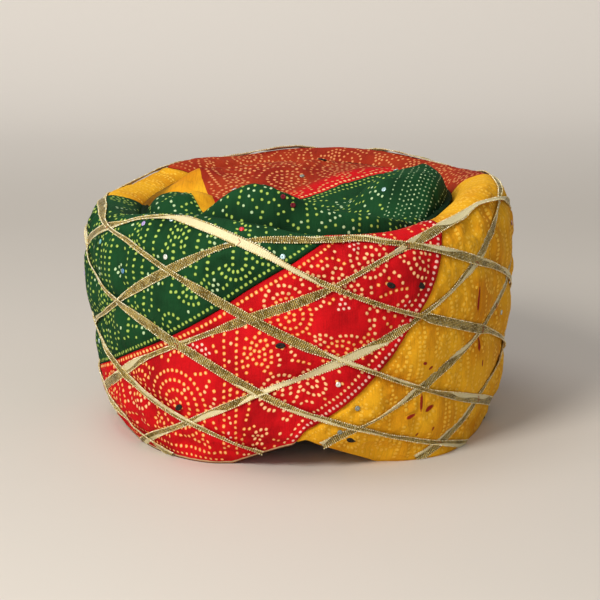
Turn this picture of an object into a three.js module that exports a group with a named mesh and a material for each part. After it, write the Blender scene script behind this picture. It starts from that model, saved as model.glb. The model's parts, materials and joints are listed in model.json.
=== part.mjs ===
// A tied pagri: a padded wall wound from five slanting turns of dyed cloth, a gathered crown
// cloth that closes the top, and eight gold ribbons that cross round the wall as a lattice.
// Millimetres, +Z up. The brow faces -Y. Angles run round the wall in degrees: 0 at the brow,
// 90 at +X, 180 at the nape. Height shares run from 0 at the hem to 1 on the crest of the rim.
import * as THREE from "three";

const { degToRad, lerp, clamp, smoothstep } = THREE.MathUtils;

// Driving sizes
const headWidth = 166; // the hollow, temple to temple
const headDepth = 194; // the hollow, brow to nape
const wallThickness = 37; // of the wound wall, at the height where it bulges most
const bandHeight = 128; // hem to crest, over the brow
const notchWidth = 76; // the peaked cut in the hem over the brow
const notchHeight = 18;
const notchRight = 3; // the cut's peak lies this far to the right of the middle
const hemShare = 0.25; // the hem's own outline has blended into the wall at this height share
const turnGap = 0.5; // between neighbouring turns
const crownThickness = 2.4; // the crown cloth with its pleats pressed together
const crownSeat = 1.9; // between the crown cloth and the inside of the wall
const crownSink = 9; // how far the crown's middle lies below the rim over the brow
const crownPuff = 22; // rise of a full fold of the crown
const ribbonWidth = 5;
const ribbonThickness = 0.5;
const ribbonSeat = 0.4; // between a ribbon and the wall
const ribbonLayer = 1.1; // how much farther out the falling half of a ribbon lies
const ribbonFoot = 4; // ribbons end this far above the hem
const ribbonChange = 12; // degrees either side of its peak over which a ribbon changes layer
const foldFade = 0.72; // from this share of the way to the lip on, the crown's folds fade out

// The wall's section. Fullness is a share of wallThickness, measured out from the hollow.
const outerSide = [
  { height: 0.0, fullness: 0.62 },
  { height: 0.05, fullness: 0.7 },
  { height: 0.13, fullness: 0.81 },
  { height: 0.23, fullness: 0.88 },
  { height: 0.36, fullness: 0.93 },
  { height: 0.5, fullness: 0.97 },
  { height: 0.65, fullness: 0.995 },
  { height: 0.77, fullness: 1.0 },
  { height: 0.86, fullness: 0.97 },
  { height: 0.92, fullness: 0.91 },
  { height: 0.965, fullness: 0.83 },
  { height: 0.99, fullness: 0.73 },
  { height: 1.0, fullness: 0.6 },
];
const innerSide = [
  { height: 0.0, fullness: 0.0 },
  { height: 0.76, fullness: 0.0 },
  { height: 0.88, fullness: 0.08 },
  { height: 0.95, fullness: 0.22 },
  { height: 0.985, fullness: 0.4 },
  { height: 1.0, fullness: 0.6 },
];

// The wall round the head. Rim is the crest as a share of bandHeight, hem the fullness of the
// outside at the hem, lip the height share at which the crown cloth comes out of the wall.
const aroundHead = [
  { angle: 0, rim: 1.0, hem: 0.42, lip: 0.95 },
  { angle: 10, rim: 0.99, hem: 0.42, lip: 0.95 },
  { angle: 23, rim: 0.985, hem: 0.46, lip: 0.95 },
  { angle: 32, rim: 0.99, hem: 0.68, lip: 0.95 },
  { angle: 42, rim: 1.0, hem: 0.81, lip: 0.95 },
  { angle: 52, rim: 1.015, hem: 0.77, lip: 0.94 },
  { angle: 62, rim: 1.045, hem: 0.68, lip: 0.93 },
  { angle: 78, rim: 1.066, hem: 0.63, lip: 0.92 },
  { angle: 100, rim: 1.045, hem: 0.63, lip: 0.93 },
  { angle: 125, rim: 1.012, hem: 0.6, lip: 0.955 },
  { angle: 160, rim: 1.03, hem: 0.55, lip: 0.955 },
  { angle: 200, rim: 1.015, hem: 0.53, lip: 0.955 },
  { angle: 220, rim: 1.012, hem: 0.55, lip: 0.955 },
  { angle: 240, rim: 0.975, hem: 0.56, lip: 0.955 },
  { angle: 265, rim: 0.965, hem: 0.56, lip: 0.95 },
  { angle: 280, rim: 0.965, hem: 0.5, lip: 0.95 },
  { angle: 296, rim: 0.975, hem: 0.51, lip: 0.95 },
  { angle: 311, rim: 1.02, hem: 0.61, lip: 0.94 },
  { angle: 325, rim: 1.045, hem: 0.67, lip: 0.94 },
  { angle: 334, rim: 1.05, hem: 0.63, lip: 0.94 },
  { angle: 341, rim: 1.045, hem: 0.49, lip: 0.94 },
  { angle: 350, rim: 1.03, hem: 0.42, lip: 0.94 },
];

// The five turns, each by the angle of its first edge at the hem, at three heights and on the
// rim. A turn ends where the next one begins, the last where the first does.
const edgeShares = [0, 0.25, 0.5, 0.75, 1];
const turns = [
  { name: "turn_red_brow", colour: 0xb4120f, edge: [-135, -82, -38, -12, 8] },
  { name: "turn_yellow_side", colour: 0xd9990f, edge: [-1, 13, 25, 36, 43] },
  { name: "turn_red_nape", colour: 0xb4120f, edge: [112, 108, 105, 101, 97] },
  { name: "turn_yellow_nape", colour: 0xd9990f, edge: [165, 181, 197, 212, 227] },
  { name: "turn_green_side", colour: 0x14401f, edge: [192, 214, 233, 250, 265] },
];

// The folds of the crown cloth. Right and back place the middle of each as shares of the
// hollow's half width and half depth, length and breadth say how far it spreads as shares of
// the half width, turn is in degrees and rise a share of crownPuff.
const crownFolds = [
  { right: -0.29, back: -0.82, length: 0.41, breadth: 0.145, turn: 2, rise: 1.00 },
  { right: 0.46, back: -0.85, length: 0.34, breadth: 0.120, turn: 8, rise: 0.62 },
  { right: 0.67, back: -0.16, length: 0.36, breadth: 0.265, turn: 28, rise: 1.05 },
  { right: -0.80, back: -0.19, length: 0.24, breadth: 0.181, turn: 20, rise: 0.60 },
  { right: -0.75, back: 0.47, length: 0.31, breadth: 0.145, turn: -50, rise: 0.35 },
];

// The course of a ribbon: degrees away from its peak, and the height share there. It rises
// from its left foot to the peak and falls to its right foot.
const ribbonCourse = [
  { away: -150, height: 0.0 },
  { away: -122, height: 0.2 },
  { away: -97, height: 0.4 },
  { away: -74, height: 0.56 },
  { away: -44, height: 0.79 },
  { away: -26, height: 0.925 },
  { away: -12, height: 0.975 },
  { away: 0, height: 0.988 },
  { away: 13, height: 0.98 },
  { away: 35, height: 0.9 },
  { away: 65, height: 0.7 },
  { away: 96, height: 0.5 },
  { away: 124, height: 0.3 },
  { away: 160, height: 0.1 },
  { away: 182, height: 0.0 },
];

// Where each ribbon has its peak, and how far its two halves stretch that course.
const ribbons = [
  { peak: -43, left: 1.0, right: 1.03 },
  { peak: 9, left: 1.0, right: 0.88 },
  { peak: 51, left: 1.0, right: 1.0 },
  { peak: 96, left: 1.01, right: 1.0 },
  { peak: 140, left: 1.0, right: 1.0 },
  { peak: 184, left: 1.0, right: 1.0 },
  { peak: 228, left: 1.0, right: 1.03 },
  { peak: 273, left: 1.0, right: 1.01 },
];

// Fineness
const levels = [0, 3, 7, 12, 18, 24, 30, 36, 42, 48, 54, 60, 67, 74, 81, 87, 92, 96, 98.5, 100]; // percent
const rings = [0.14, 0.28, 0.42, 0.55, 0.67, 0.77, 0.85, 0.91, 0.955, 0.985, 1];
const tuckRings = [0.985, 0.965, 0.94, 0.9, 0.86]; // height shares, as parts of the lip's
const wallStep = 9; // degrees of wall to a column of faces
const crownColumns = 44;
const ribbonStep = 5.4;

const cloth = { roughness: 0.85, metalness: 0 };
const gold = { roughness: 0.35, metalness: 0.9 };

// A smooth curve through one column of a table whose rows go up by their key.
function along(rows, key, column, at) {
  let i = 0;
  while (i < rows.length - 2 && at > rows[i + 1][key]) i += 1;
  const rise = (a, b) => (rows[b][column] - rows[a][column]) / (rows[b][key] - rows[a][key]);
  const step = rows[i + 1][key] - rows[i][key];
  const t = clamp((at - rows[i][key]) / step, 0, 1);
  const slopeIn = rise(Math.max(i - 1, 0), i + 1) * step;
  const slopeOut = rise(i, Math.min(i + 2, rows.length - 1)) * step;
  const blend = 3 * t * t - 2 * t * t * t;
  const bend = slopeIn * (t - 2 * t * t + t * t * t) + slopeOut * (t * t * t - t * t);
  return lerp(rows[i][column], rows[i + 1][column], blend) + bend;
}

// The same for the table that runs round the head and meets itself.
const shifted = (by) => aroundHead.map((row) => ({ ...row, angle: row.angle + by }));
const threeRounds = [...shifted(-360), ...aroundHead, ...shifted(360)];
function around(column, angle) {
  return along(threeRounds, "angle", column, THREE.MathUtils.euclideanModulo(angle, 360));
}

const rimHeight = (angle) => bandHeight * around("rim", angle);

// How far the wall's inside and outside stand out from the hollow, in mm.
const innerOut = (angle, height) => wallThickness * along(innerSide, "height", "fullness", height);
function outerOut(angle, height) {
  const hemBlend = Math.max(0, 1 - height / hemShare) ** 2;
  const hemExtra = (around("hem", angle) - outerSide[0].fullness) * hemBlend;
  return wallThickness * (along(outerSide, "height", "fullness", height) + hemExtra);
}

// A point at an angle and a distance out from the hollow's oval.
function onOval(angle, out, z) {
  const a = degToRad(angle);
  const x = (headWidth / 2 + out) * Math.sin(a);
  return new THREE.Vector3(x, -(headDepth / 2 + out) * Math.cos(a), z);
}

// How far the cut over the brow lifts the hem.
function hemLift(angle) {
  const { x, y } = onOval(angle, outerOut(angle, 0), 0);
  const beside = Math.abs(x - notchRight) / (notchWidth / 2);
  return y > 0 ? 0 : notchHeight * Math.max(0, 1 - beside);
}

// A point of the wall's surface, given which side's function to use.
const surfacePoint = (side, angle, height) =>
  onOval(angle, side(angle, height), height * rimHeight(angle));

// The outward normal of the outer side.
function outerNormal(angle, height) {
  const point = (da, dh) => surfacePoint(outerOut, angle + da, height + dh);
  const round = point(0.5, 0).sub(point(-0.5, 0));
  const up = point(0, 0.002).sub(point(0, -0.002));
  return round.cross(up).normalize();
}

// The angle of a turn's first edge at a share of the way from hem to crest.
function edgeAngle(index, share) {
  const rows = turns[index % turns.length].edge.map((angle, i) => ({ share: edgeShares[i], angle }));
  return along(rows, "share", "angle", share) + (index < turns.length ? 0 : 360);
}

// A named mesh from points and triangles of point numbers.
function meshOf(name, color, finish, points, triangles) {
  const geometry = new THREE.BufferGeometry().setFromPoints(points);
  geometry.setIndex(triangles.flat());
  const mesh = new THREE.Mesh(geometry, new THREE.MeshStandardMaterial({ color, ...finish }));
  mesh.name = name;
  return mesh;
}

// Two triangles over four corners, split along the shorter diagonal.
function quad(points, a, b, c, d) {
  const shorter = points[a].distanceTo(points[c]) < points[b].distanceTo(points[d]);
  return shorter ? [[a, b, c], [a, c, d]] : [[a, b, d], [b, c, d]];
}

// The skin over rows of points. Each row closes in a loop unless it is open, and the last row
// joins the first where the rows go all the way round.
function skin(points, rowSize, { open = false, allRound = false } = {}) {
  const rowCount = Math.floor(points.length / rowSize);
  const triangles = [];
  for (let row = 0; row < rowCount - (allRound ? 0 : 1); row += 1) {
    const next = ((row + 1) % rowCount) * rowSize;
    for (let i = 0; i < rowSize - (open ? 1 : 0); i += 1) {
      const j = (i + 1) % rowSize;
      triangles.push(...quad(points, row * rowSize + i, next + i, next + j, row * rowSize + j));
    }
  }
  return triangles;
}

// One turn of the wall, in its full thickness between two slanting edges.
function makeTurn({ name, colour }, index) {
  const outer = levels.map((level) => ({ side: outerOut, share: level / 100 }));
  const inner = outer.slice(0, -1).reverse().map(({ share }) => ({ side: innerOut, share }));
  const loop = [...outer, ...inner];
  const spans = [0, 1].map((share) => edgeAngle(index + 1, share) - edgeAngle(index, share));
  const columns = Math.ceil(Math.max(...spans) / wallStep);
  const halfGap = (turnGap / (headWidth + 2 * wallThickness)) * (180 / Math.PI);
  const points = [];
  for (let column = 0; column <= columns; column += 1) {
    for (const { side, share } of loop) {
      const from = edgeAngle(index, share) + halfGap;
      const to = edgeAngle(index + 1, share) - halfGap;
      const angle = lerp(from, to, column / columns);
      const height = lerp(hemLift(angle) / rimHeight(angle), 1, share);
      points.push(surfacePoint(side, angle, height));
    }
  }
  const lastRow = columns * loop.length;
  const crest = levels.length - 1;
  const behind = (i) => 2 * crest - i;
  const triangles = skin(points, loop.length);
  for (let i = 0; i < crest; i += 1) {
    const end = [[i, i + 1, behind(i)]];
    if (i + 1 < crest) end.push([i + 1, behind(i + 1), behind(i)]);
    for (const [a, b, c] of end) {
      triangles.push([a, b, c], [a + lastRow, c + lastRow, b + lastRow]);
    }
  }
  return meshOf(name, colour, cloth, points, triangles);
}

// How much the folds lift the crown at a place.
function foldRise(x, y) {
  let rise = 0;
  for (const fold of crownFolds) {
    const turn = degToRad(fold.turn);
    const dx = x / (headWidth / 2) - fold.right;
    const dy = (y - (fold.back * headDepth) / 2) / (headWidth / 2);
    const u = (dx * Math.cos(turn) + dy * Math.sin(turn)) / fold.length;
    const v = (dy * Math.cos(turn) - dx * Math.sin(turn)) / fold.breadth;
    rise += fold.rise * Math.exp(-(u * u + v * v) / 2);
  }
  return crownPuff * rise;
}

// A point of the crown's upper face: a share of the way from the middle to the lip, and from
// there on, above 1, down the inside of the wall.
function crownPoint(angle, share) {
  const lip = around("lip", angle);
  if (share > 1) {
    const height = lip * lerp(1, tuckRings.at(-1), share - 1);
    return onOval(angle, innerOut(angle, height) - crownSeat, height * rimHeight(angle));
  }
  const edge = onOval(angle, innerOut(angle, lip) - crownSeat, lip * rimHeight(angle));
  const [x, y] = [edge.x * share, edge.y * share];
  const base = lerp(bandHeight - crownSink, edge.z, share * share);
  const faded = Math.sqrt(1 - smoothstep(share, foldFade, 1));
  return new THREE.Vector3(x, y, base + foldRise(x, y) * faded);
}

// The crown cloth: the upper face, its offset below, and the tucked edge that joins them.
function makeCrown() {
  const tucks = tuckRings.map((part) => 1 + (1 - part) / (1 - tuckRings.at(-1)));
  const shares = [...rings, ...tucks];
  const points = [];
  for (let column = 0; column < crownColumns; column += 1) {
    const angle = (-360 * column) / crownColumns;
    const upper = shares.map((share) => crownPoint(angle, share));
    const lower = shares.map((share, i) => {
      const round = crownPoint(angle + 1, share).sub(crownPoint(angle - 1, share));
      const out = crownPoint(angle, share + 0.01).sub(crownPoint(angle, share - 0.01));
      const normal = out.cross(round).normalize();
      return upper[i].clone().addScaledVector(normal, -crownThickness);
    });
    points.push(...upper, ...lower.reverse());
  }
  const rowSize = 2 * shares.length;
  const triangles = skin(points, rowSize, { open: true, allRound: true });
  const top = points.length;
  const middle = crownPoint(0, 0);
  for (let column = 0; column < crownColumns; column += 1) {
    const here = column * rowSize;
    const next = ((column + 1) % crownColumns) * rowSize;
    triangles.push([top, next, here], [top + 1, here + rowSize - 1, next + rowSize - 1]);
  }
  points.push(middle, middle.clone().setZ(middle.z - crownThickness));
  return meshOf("crown_cloth", 0x14401f, cloth, points, triangles);
}

// One gold ribbon, flat on the wall from its left foot over the peak to its right foot.
function makeRibbon({ peak, left, right }, index) {
  const place = (away) => ({
    angle: peak + away * (away < 0 ? left : right),
    height: along(ribbonCourse, "away", "height", away),
  });
  const centre = (away) => surfacePoint(outerOut, place(away).angle, place(away).height);
  const points = [];
  const [first, last] = [ribbonCourse[0].away, ribbonCourse.at(-1).away];
  const steps = Math.round((last - first) / ribbonStep);
  for (let i = 0; i <= steps; i += 1) {
    const away = lerp(first, last, i / steps);
    const { angle, height } = place(away);
    const middle = centre(away);
    if (middle.z < hemLift(angle) + ribbonFoot) continue;
    const normal = outerNormal(angle, height);
    const ahead = centre(away + 0.5).sub(centre(away - 0.5)).normalize();
    const across = normal.clone().cross(ahead).multiplyScalar(ribbonWidth / 2);
    const low = ribbonSeat + ribbonLayer * smoothstep(away, -ribbonChange, ribbonChange);
    const corner = (side, out) =>
      middle.clone().addScaledVector(across, side).addScaledVector(normal, out);
    const high = low + ribbonThickness;
    points.push(corner(-1, low), corner(-1, high), corner(1, high), corner(1, low));
  }
  const end = points.length - 4;
  const caps = [[0, 1, 2], [0, 2, 3], [end, end + 2, end + 1], [end, end + 3, end + 2]];
  return meshOf(`ribbon_${index + 1}`, 0xb08a3c, gold, points, [...skin(points, 4), ...caps]);
}

const pagri = new THREE.Group();
pagri.add(...turns.map(makeTurn));
pagri.add(makeCrown());
pagri.add(...ribbons.map(makeRibbon));

export default pagri;
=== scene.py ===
import json
import math

import bpy
import numpy as np
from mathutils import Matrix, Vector, geometry, kdtree

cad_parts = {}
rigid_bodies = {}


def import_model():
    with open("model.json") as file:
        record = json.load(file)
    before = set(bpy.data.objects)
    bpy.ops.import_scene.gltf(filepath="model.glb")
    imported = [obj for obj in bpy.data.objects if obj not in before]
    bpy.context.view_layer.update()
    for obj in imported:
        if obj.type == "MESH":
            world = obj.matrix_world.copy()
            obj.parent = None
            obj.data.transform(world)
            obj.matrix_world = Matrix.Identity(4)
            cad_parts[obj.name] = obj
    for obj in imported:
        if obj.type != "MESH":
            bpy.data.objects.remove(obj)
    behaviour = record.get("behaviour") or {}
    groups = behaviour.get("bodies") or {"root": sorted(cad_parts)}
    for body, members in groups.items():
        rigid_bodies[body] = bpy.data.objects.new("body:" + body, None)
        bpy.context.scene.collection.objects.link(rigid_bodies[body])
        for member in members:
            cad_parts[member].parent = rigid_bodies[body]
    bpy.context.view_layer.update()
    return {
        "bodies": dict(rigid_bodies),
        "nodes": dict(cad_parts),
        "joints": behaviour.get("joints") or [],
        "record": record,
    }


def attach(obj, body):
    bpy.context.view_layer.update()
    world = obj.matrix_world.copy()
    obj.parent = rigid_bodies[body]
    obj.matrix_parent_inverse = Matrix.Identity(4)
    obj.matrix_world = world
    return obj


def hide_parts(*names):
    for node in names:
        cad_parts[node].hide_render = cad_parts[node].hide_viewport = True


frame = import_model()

print("frame loaded,", len(frame["nodes"]), "nodes")

mm = 0.001

# The same sizes as the solids have. Angles run round the wall in degrees, 0 at the brow, 90 on
# the right. Height shares run from 0 at the hem to 1 on the rim's crest.
wall = {
    "headWidth": 166,
    "headDepth": 194,
    "thickness": 37,
    "bandHeight": 128,
    "notchWidth": 76,
    "notchHeight": 18,
    "notchRight": 3,
    "hemShare": 0.25,
    "turnGap": 0.5,
    "outerHeight": [0, 0.05, 0.13, 0.23, 0.36, 0.5, 0.65, 0.77, 0.86, 0.92, 0.965, 0.99, 1],
    "outerFull": [0.62, 0.7, 0.81, 0.88, 0.93, 0.97, 0.995, 1, 0.97, 0.91, 0.83, 0.73, 0.6],
    "innerHeight": [0, 0.76, 0.88, 0.95, 0.985, 1],
    "innerFull": [0, 0, 0.08, 0.22, 0.4, 0.6],
    "angle": [0, 10, 23, 32, 42, 52, 62, 78, 100, 125, 160, 200, 220, 240, 265, 280, 296, 311,
              325, 334, 341, 350],
    "rim": [1, 0.99, 0.985, 0.99, 1, 1.015, 1.045, 1.066, 1.045, 1.012, 1.03, 1.015, 1.012,
            0.975, 0.965, 0.965, 0.975, 1.02, 1.045, 1.05, 1.045, 1.03],
    "hem": [0.42, 0.42, 0.46, 0.68, 0.81, 0.77, 0.68, 0.63, 0.63, 0.6, 0.55, 0.53, 0.55, 0.56,
            0.56, 0.5, 0.51, 0.61, 0.67, 0.63, 0.49, 0.42],
    "lip": [0.95, 0.95, 0.95, 0.95, 0.95, 0.94, 0.93, 0.92, 0.93, 0.955, 0.955, 0.955, 0.955,
            0.955, 0.95, 0.95, 0.95, 0.94, 0.94, 0.94, 0.94, 0.94],
}
turnEdges = [
    [-135, -82, -38, -12, 8],
    [-1, 13, 25, 36, 43],
    [112, 108, 105, 101, 97],
    [165, 181, 197, 212, 227],
    [192, 214, 233, 250, 265],
]
edgeShares = [0, 0.25, 0.5, 0.75, 1]
ribbonAway = [-150, -122, -97, -74, -44, -26, -12, 0, 13, 35, 65, 96, 124, 160, 182]
ribbonHeight = [0, 0.2, 0.4, 0.56, 0.79, 0.925, 0.975, 0.988, 0.98, 0.9, 0.7, 0.5, 0.3, 0.1, 0]
ribbonPeaks = [(-43, 1, 1.03), (9, 1, 0.88), (51, 1, 1), (96, 1.01, 1), (140, 1, 1),
               (184, 1, 1), (228, 1, 1.03), (273, 1, 1.01)]
crown = {
    "sink": 9,
    "seat": 1.9,
    "thickness": 2.4,
    "tuckEnd": 0.86,
    "foldFade": 0.74,
}


# A smooth curve through a column of values at growing keys.
def curve(keys, values, at):
    keys, values = np.asarray(keys, float), np.asarray(values, float)
    at = np.asarray(at, float)
    last = len(keys) - 1
    i = np.clip(np.searchsorted(keys, at, side="left") - 1, 0, last - 1)
    before, after = np.maximum(i - 1, 0), np.minimum(i + 2, last)
    step = keys[i + 1] - keys[i]
    t = np.clip((at - keys[i]) / step, 0, 1)
    slopeIn = (values[i + 1] - values[before]) / (keys[i + 1] - keys[before]) * step
    slopeOut = (values[after] - values[i]) / (keys[after] - keys[i]) * step
    bend = slopeIn * (t - 2 * t ** 2 + t ** 3) + slopeOut * (t ** 3 - t ** 2)
    return values[i] + (values[i + 1] - values[i]) * (3 * t ** 2 - 2 * t ** 3) + bend


def around(column, angle):
    keys, values = np.array(wall["angle"], float), wall[column] * 3
    return curve(np.concatenate([keys - 360, keys, keys + 360]), values, np.mod(angle, 360))


def smooth(low, high, value):
    t = np.clip((np.asarray(value, float) - low) / (high - low), 0, 1)
    return t * t * (3 - 2 * t)


def mix(a, b, share):
    return a + (b - a) * share


def rimHeight(angle):
    return wall["bandHeight"] * around("rim", angle)


def innerOut(angle, height):
    return wall["thickness"] * curve(wall["innerHeight"], wall["innerFull"], height)


def outerOut(angle, height):
    blend = np.maximum(0, 1 - np.asarray(height) / wall["hemShare"]) ** 2
    extra = (around("hem", angle) - wall["outerFull"][0]) * blend
    return wall["thickness"] * (curve(wall["outerHeight"], wall["outerFull"], height) + extra)


def onOval(angle, out, z):
    a = np.radians(angle)
    x = (wall["headWidth"] / 2 + out) * np.sin(a)
    y = -(wall["headDepth"] / 2 + out) * np.cos(a)
    return np.stack([x, y, z + 0 * x], -1)


def hemLift(angle):
    foot = onOval(angle, outerOut(angle, 0), 0)
    beside = np.abs(foot[..., 0] - wall["notchRight"]) / (wall["notchWidth"] / 2)
    return np.where(foot[..., 1] > 0, 0, wall["notchHeight"] * np.maximum(0, 1 - beside))


def surfacePoint(side, angle, height):
    return onOval(angle, side(angle, height), height * rimHeight(angle))


def surfaceNormal(side, angle, height):
    turn, rise = 0.4, 0.002
    along = surfacePoint(side, angle + turn, height) - surfacePoint(side, angle - turn, height)
    up = surfacePoint(side, angle, height + rise) - surfacePoint(side, angle, height - rise)
    normal = np.cross(along, up)
    return normal / np.linalg.norm(normal, axis=-1, keepdims=True)


# The same, kept off the hem and the crest, where the outline turns sharply.
def steadyNormal(side, angle, height):
    return surfaceNormal(side, angle, np.clip(height, 0.004, 0.985))


def edgeAngle(index, share):
    count = len(turnEdges)
    turned = 0 if index < count else 360
    return curve(edgeShares, turnEdges[index % count], share) + turned


# The wall's skin unrolled: across in mm round the belly, up from the outer hem over the crest
# and down the inside to the inner hem.
mmPerDegree = 2.2
profileShares = np.linspace(0, 1, 201)


def lengthAlong(line):
    return np.concatenate([[0], np.cumsum(np.linalg.norm(np.diff(line, axis=0), axis=1))])


def profileLength(side):
    out = wall["thickness"] * curve(wall[side + "Height"], wall[side + "Full"], profileShares)
    return lengthAlong(np.stack([out, wall["bandHeight"] * profileShares], -1))


outerLength, innerLength = profileLength("outer"), profileLength("inner")
crestUp = outerLength[-1]
wholeUp = crestUp + innerLength[-1]
# How far the skin goes on inside, past the crest, in mm: where what stands out on the outside
# fades, where the fine mesh ends and where the print ends.
lap = {"fade": (4, 18), "fine": 24, "print": 30}


# 0 to 1 is the outside from hem to crest, 1 to 2 the inside from crest to hem.
def partOfUp(up):
    outside = np.interp(up, outerLength, profileShares)
    inside = np.interp(wholeUp - np.asarray(up), innerLength, profileShares)
    return np.where(np.asarray(up) <= crestUp, outside, 2 - inside)


def upOfPart(part):
    part = np.asarray(part, float)
    outside = np.interp(part, profileShares, outerLength)
    inside = wholeUp - np.interp(2 - part, profileShares, innerLength)
    return np.where(part <= 1, outside, inside)


def heightAt(angle, share):
    lift = hemLift(angle) / rimHeight(angle)
    return mix(lift, 1, share)


print("shape ready: crest", round(float(crestUp)), "mm up, section", round(float(wholeUp)), "mm")


# A smooth random field on a plane, with waves of about the given length.
def softNoise(x, y, length, seed, waves=7, octaves=2):
    rng = np.random.default_rng(seed)
    total, weight = 0, 1.0
    for octave in range(octaves):
        for _ in range(waves):
            turn, phase = rng.uniform(0, 2 * math.pi, 2)
            pace = 2 * math.pi / (length * rng.uniform(0.75, 1.4)) * 2 ** octave
            along = x * math.cos(turn) + y * math.sin(turn)
            total = total + weight * np.sin(along * pace + phase)
        weight *= 0.5
    return total / waves


# The same round the head, where it meets itself.
def wallNoise(angle, up, length, seed, radius=125):
    a = np.radians(angle)
    return softNoise(np.sin(a) * radius + up * 0.9, np.cos(a) * radius - up * 0.5, length, seed)


# Reads a grid of values smoothly between its points. Columns may run round.
def readGrid(grid, x, y, wrap):
    def weights(t):
        return (-0.5 * t + t ** 2 - 0.5 * t ** 3, 1 - 2.5 * t ** 2 + 1.5 * t ** 3,
                0.5 * t + 2 * t ** 2 - 1.5 * t ** 3, -0.5 * t ** 2 + 0.5 * t ** 3)

    columns, rows = grid.shape[:2]
    x0, y0 = np.floor(x).astype(int), np.floor(y).astype(int)
    total = 0
    for i, wide in enumerate(weights(x - x0)):
        column = x0 + i - 1
        column = column % columns if wrap else np.clip(column, 0, columns - 1)
        for j, tall in enumerate(weights(y - y0)):
            row = np.clip(y0 + j - 1, 0, rows - 1)
            share = wide * tall
            total = total + grid[column, row] * (share if grid.ndim == 2 else share[:, None])
    return total


def newPiece(name, points, faces, material, smoothFaces=None):
    mesh = bpy.data.meshes.new(name)
    mesh.from_pydata(np.asarray(points, float).tolist(), [], faces)
    mesh.validate(verbose=False)
    piece = bpy.data.objects.new(name, mesh)
    bpy.context.scene.collection.objects.link(piece)
    mesh.materials.append(material)
    flags = np.ones(len(mesh.polygons), bool) if smoothFaces is None else smoothFaces
    mesh.polygons.foreach_set("use_smooth", flags)
    return piece


def addField(mesh, name, values, kind="FLOAT_VECTOR", where="POINT"):
    field = mesh.attributes.new(name, kind, where)
    key = {"FLOAT_VECTOR": "vector", "FLOAT_COLOR": "color", "FLOAT": "value"}[kind]
    field.data.foreach_set(key, np.asarray(values, np.float32).ravel())


def addUv(mesh, name, places):
    corners = np.empty(len(mesh.loops), np.int32)
    mesh.loops.foreach_get("vertex_index", corners)
    layer = mesh.uv_layers.new(name=name)
    layer.data.foreach_set("uv", np.asarray(places)[corners].astype(np.float32).ravel())


def pointsOf(mesh):
    flat = np.empty(len(mesh.vertices) * 3, np.float32)
    mesh.vertices.foreach_get("co", flat)
    return flat.reshape(-1, 3).astype(float)


# Wraps a socket, so that shader maths reads as plain expressions.
class Value:
    def __init__(self, board, socket):
        self.board = board
        self.socket = socket

    def math(self, operation, *others):
        return self.board.node("ShaderNodeMath", {"operation": operation},
                               dict(enumerate((self, *others))))

    def __add__(self, other):
        return self.math("ADD", other)

    def __mul__(self, other):
        return self.math("MULTIPLY", other)

    def __sub__(self, other):
        return self.math("SUBTRACT", other)

    def __rsub__(self, other):
        return self.board.node("ShaderNodeMath", {"operation": "SUBTRACT"}, {0: other, 1: self})

    def __pow__(self, other):
        return self.math("POWER", other)

    __radd__ = __add__
    __rmul__ = __mul__


# A node tree that is filled node by node.
class Board:
    def __init__(self, tree):
        self.tree = tree

    # A node of a type, with its settings first and then the values or links of its sockets.
    def node(self, kind, settings=None, values=None, out=0):
        made = self.tree.nodes.new(kind)
        for key, setting in (settings or {}).items():
            setattr(made, key, setting)
        for key, value in (values or {}).items():
            self.feed(made.inputs[key], value)
        self.last = made
        return Value(self, made.outputs[out]) if made.outputs else None

    def feed(self, socket, value):
        if isinstance(value, Value):
            self.tree.links.new(value.socket, socket)
        else:
            socket.default_value = value

    def field(self, name, out="Fac"):
        return self.node("ShaderNodeAttribute", {"attribute_name": name}, out=out)

    def split(self, vector):
        self.node("ShaderNodeSeparateXYZ", values={0: vector})
        return [Value(self, socket) for socket in self.last.outputs]

    def blend(self, share, first, second):
        return self.node("ShaderNodeMix", {"data_type": "RGBA"}, {0: share, 6: first, 7: second},
                         out=2)

    def ease(self, value, low, high):
        return self.node("ShaderNodeMapRange", {"interpolation_type": "SMOOTHSTEP"},
                         {"Value": value, "From Min": low, "From Max": high})

    def noise(self, vector, scale, detail=2.0, rough=0.5):
        return self.node("ShaderNodeTexNoise", values={
            "Vector": vector, "Scale": scale, "Detail": detail, "Roughness": rough})

    def stretched(self, vector, by):
        return self.node("ShaderNodeVectorMath", {"operation": "MULTIPLY"}, {0: vector, 1: by})

    def surface(self, values, bump=None, strength=0.5, distance=0.0003):
        if bump is not None:
            values["Normal"] = self.node("ShaderNodeBump", values={
                "Strength": strength, "Distance": distance, "Height": bump})
        shader = self.node("ShaderNodeBsdfPrincipled", values=values)
        self.node("ShaderNodeOutputMaterial", values={"Surface": shader})


def newMaterial(name):
    material = bpy.data.materials.new(name)
    material.use_nodes = True
    material.node_tree.nodes.clear()
    return material, Board(material.node_tree)


def rgba(r, g, b):
    return (r, g, b, 1.0)


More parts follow.
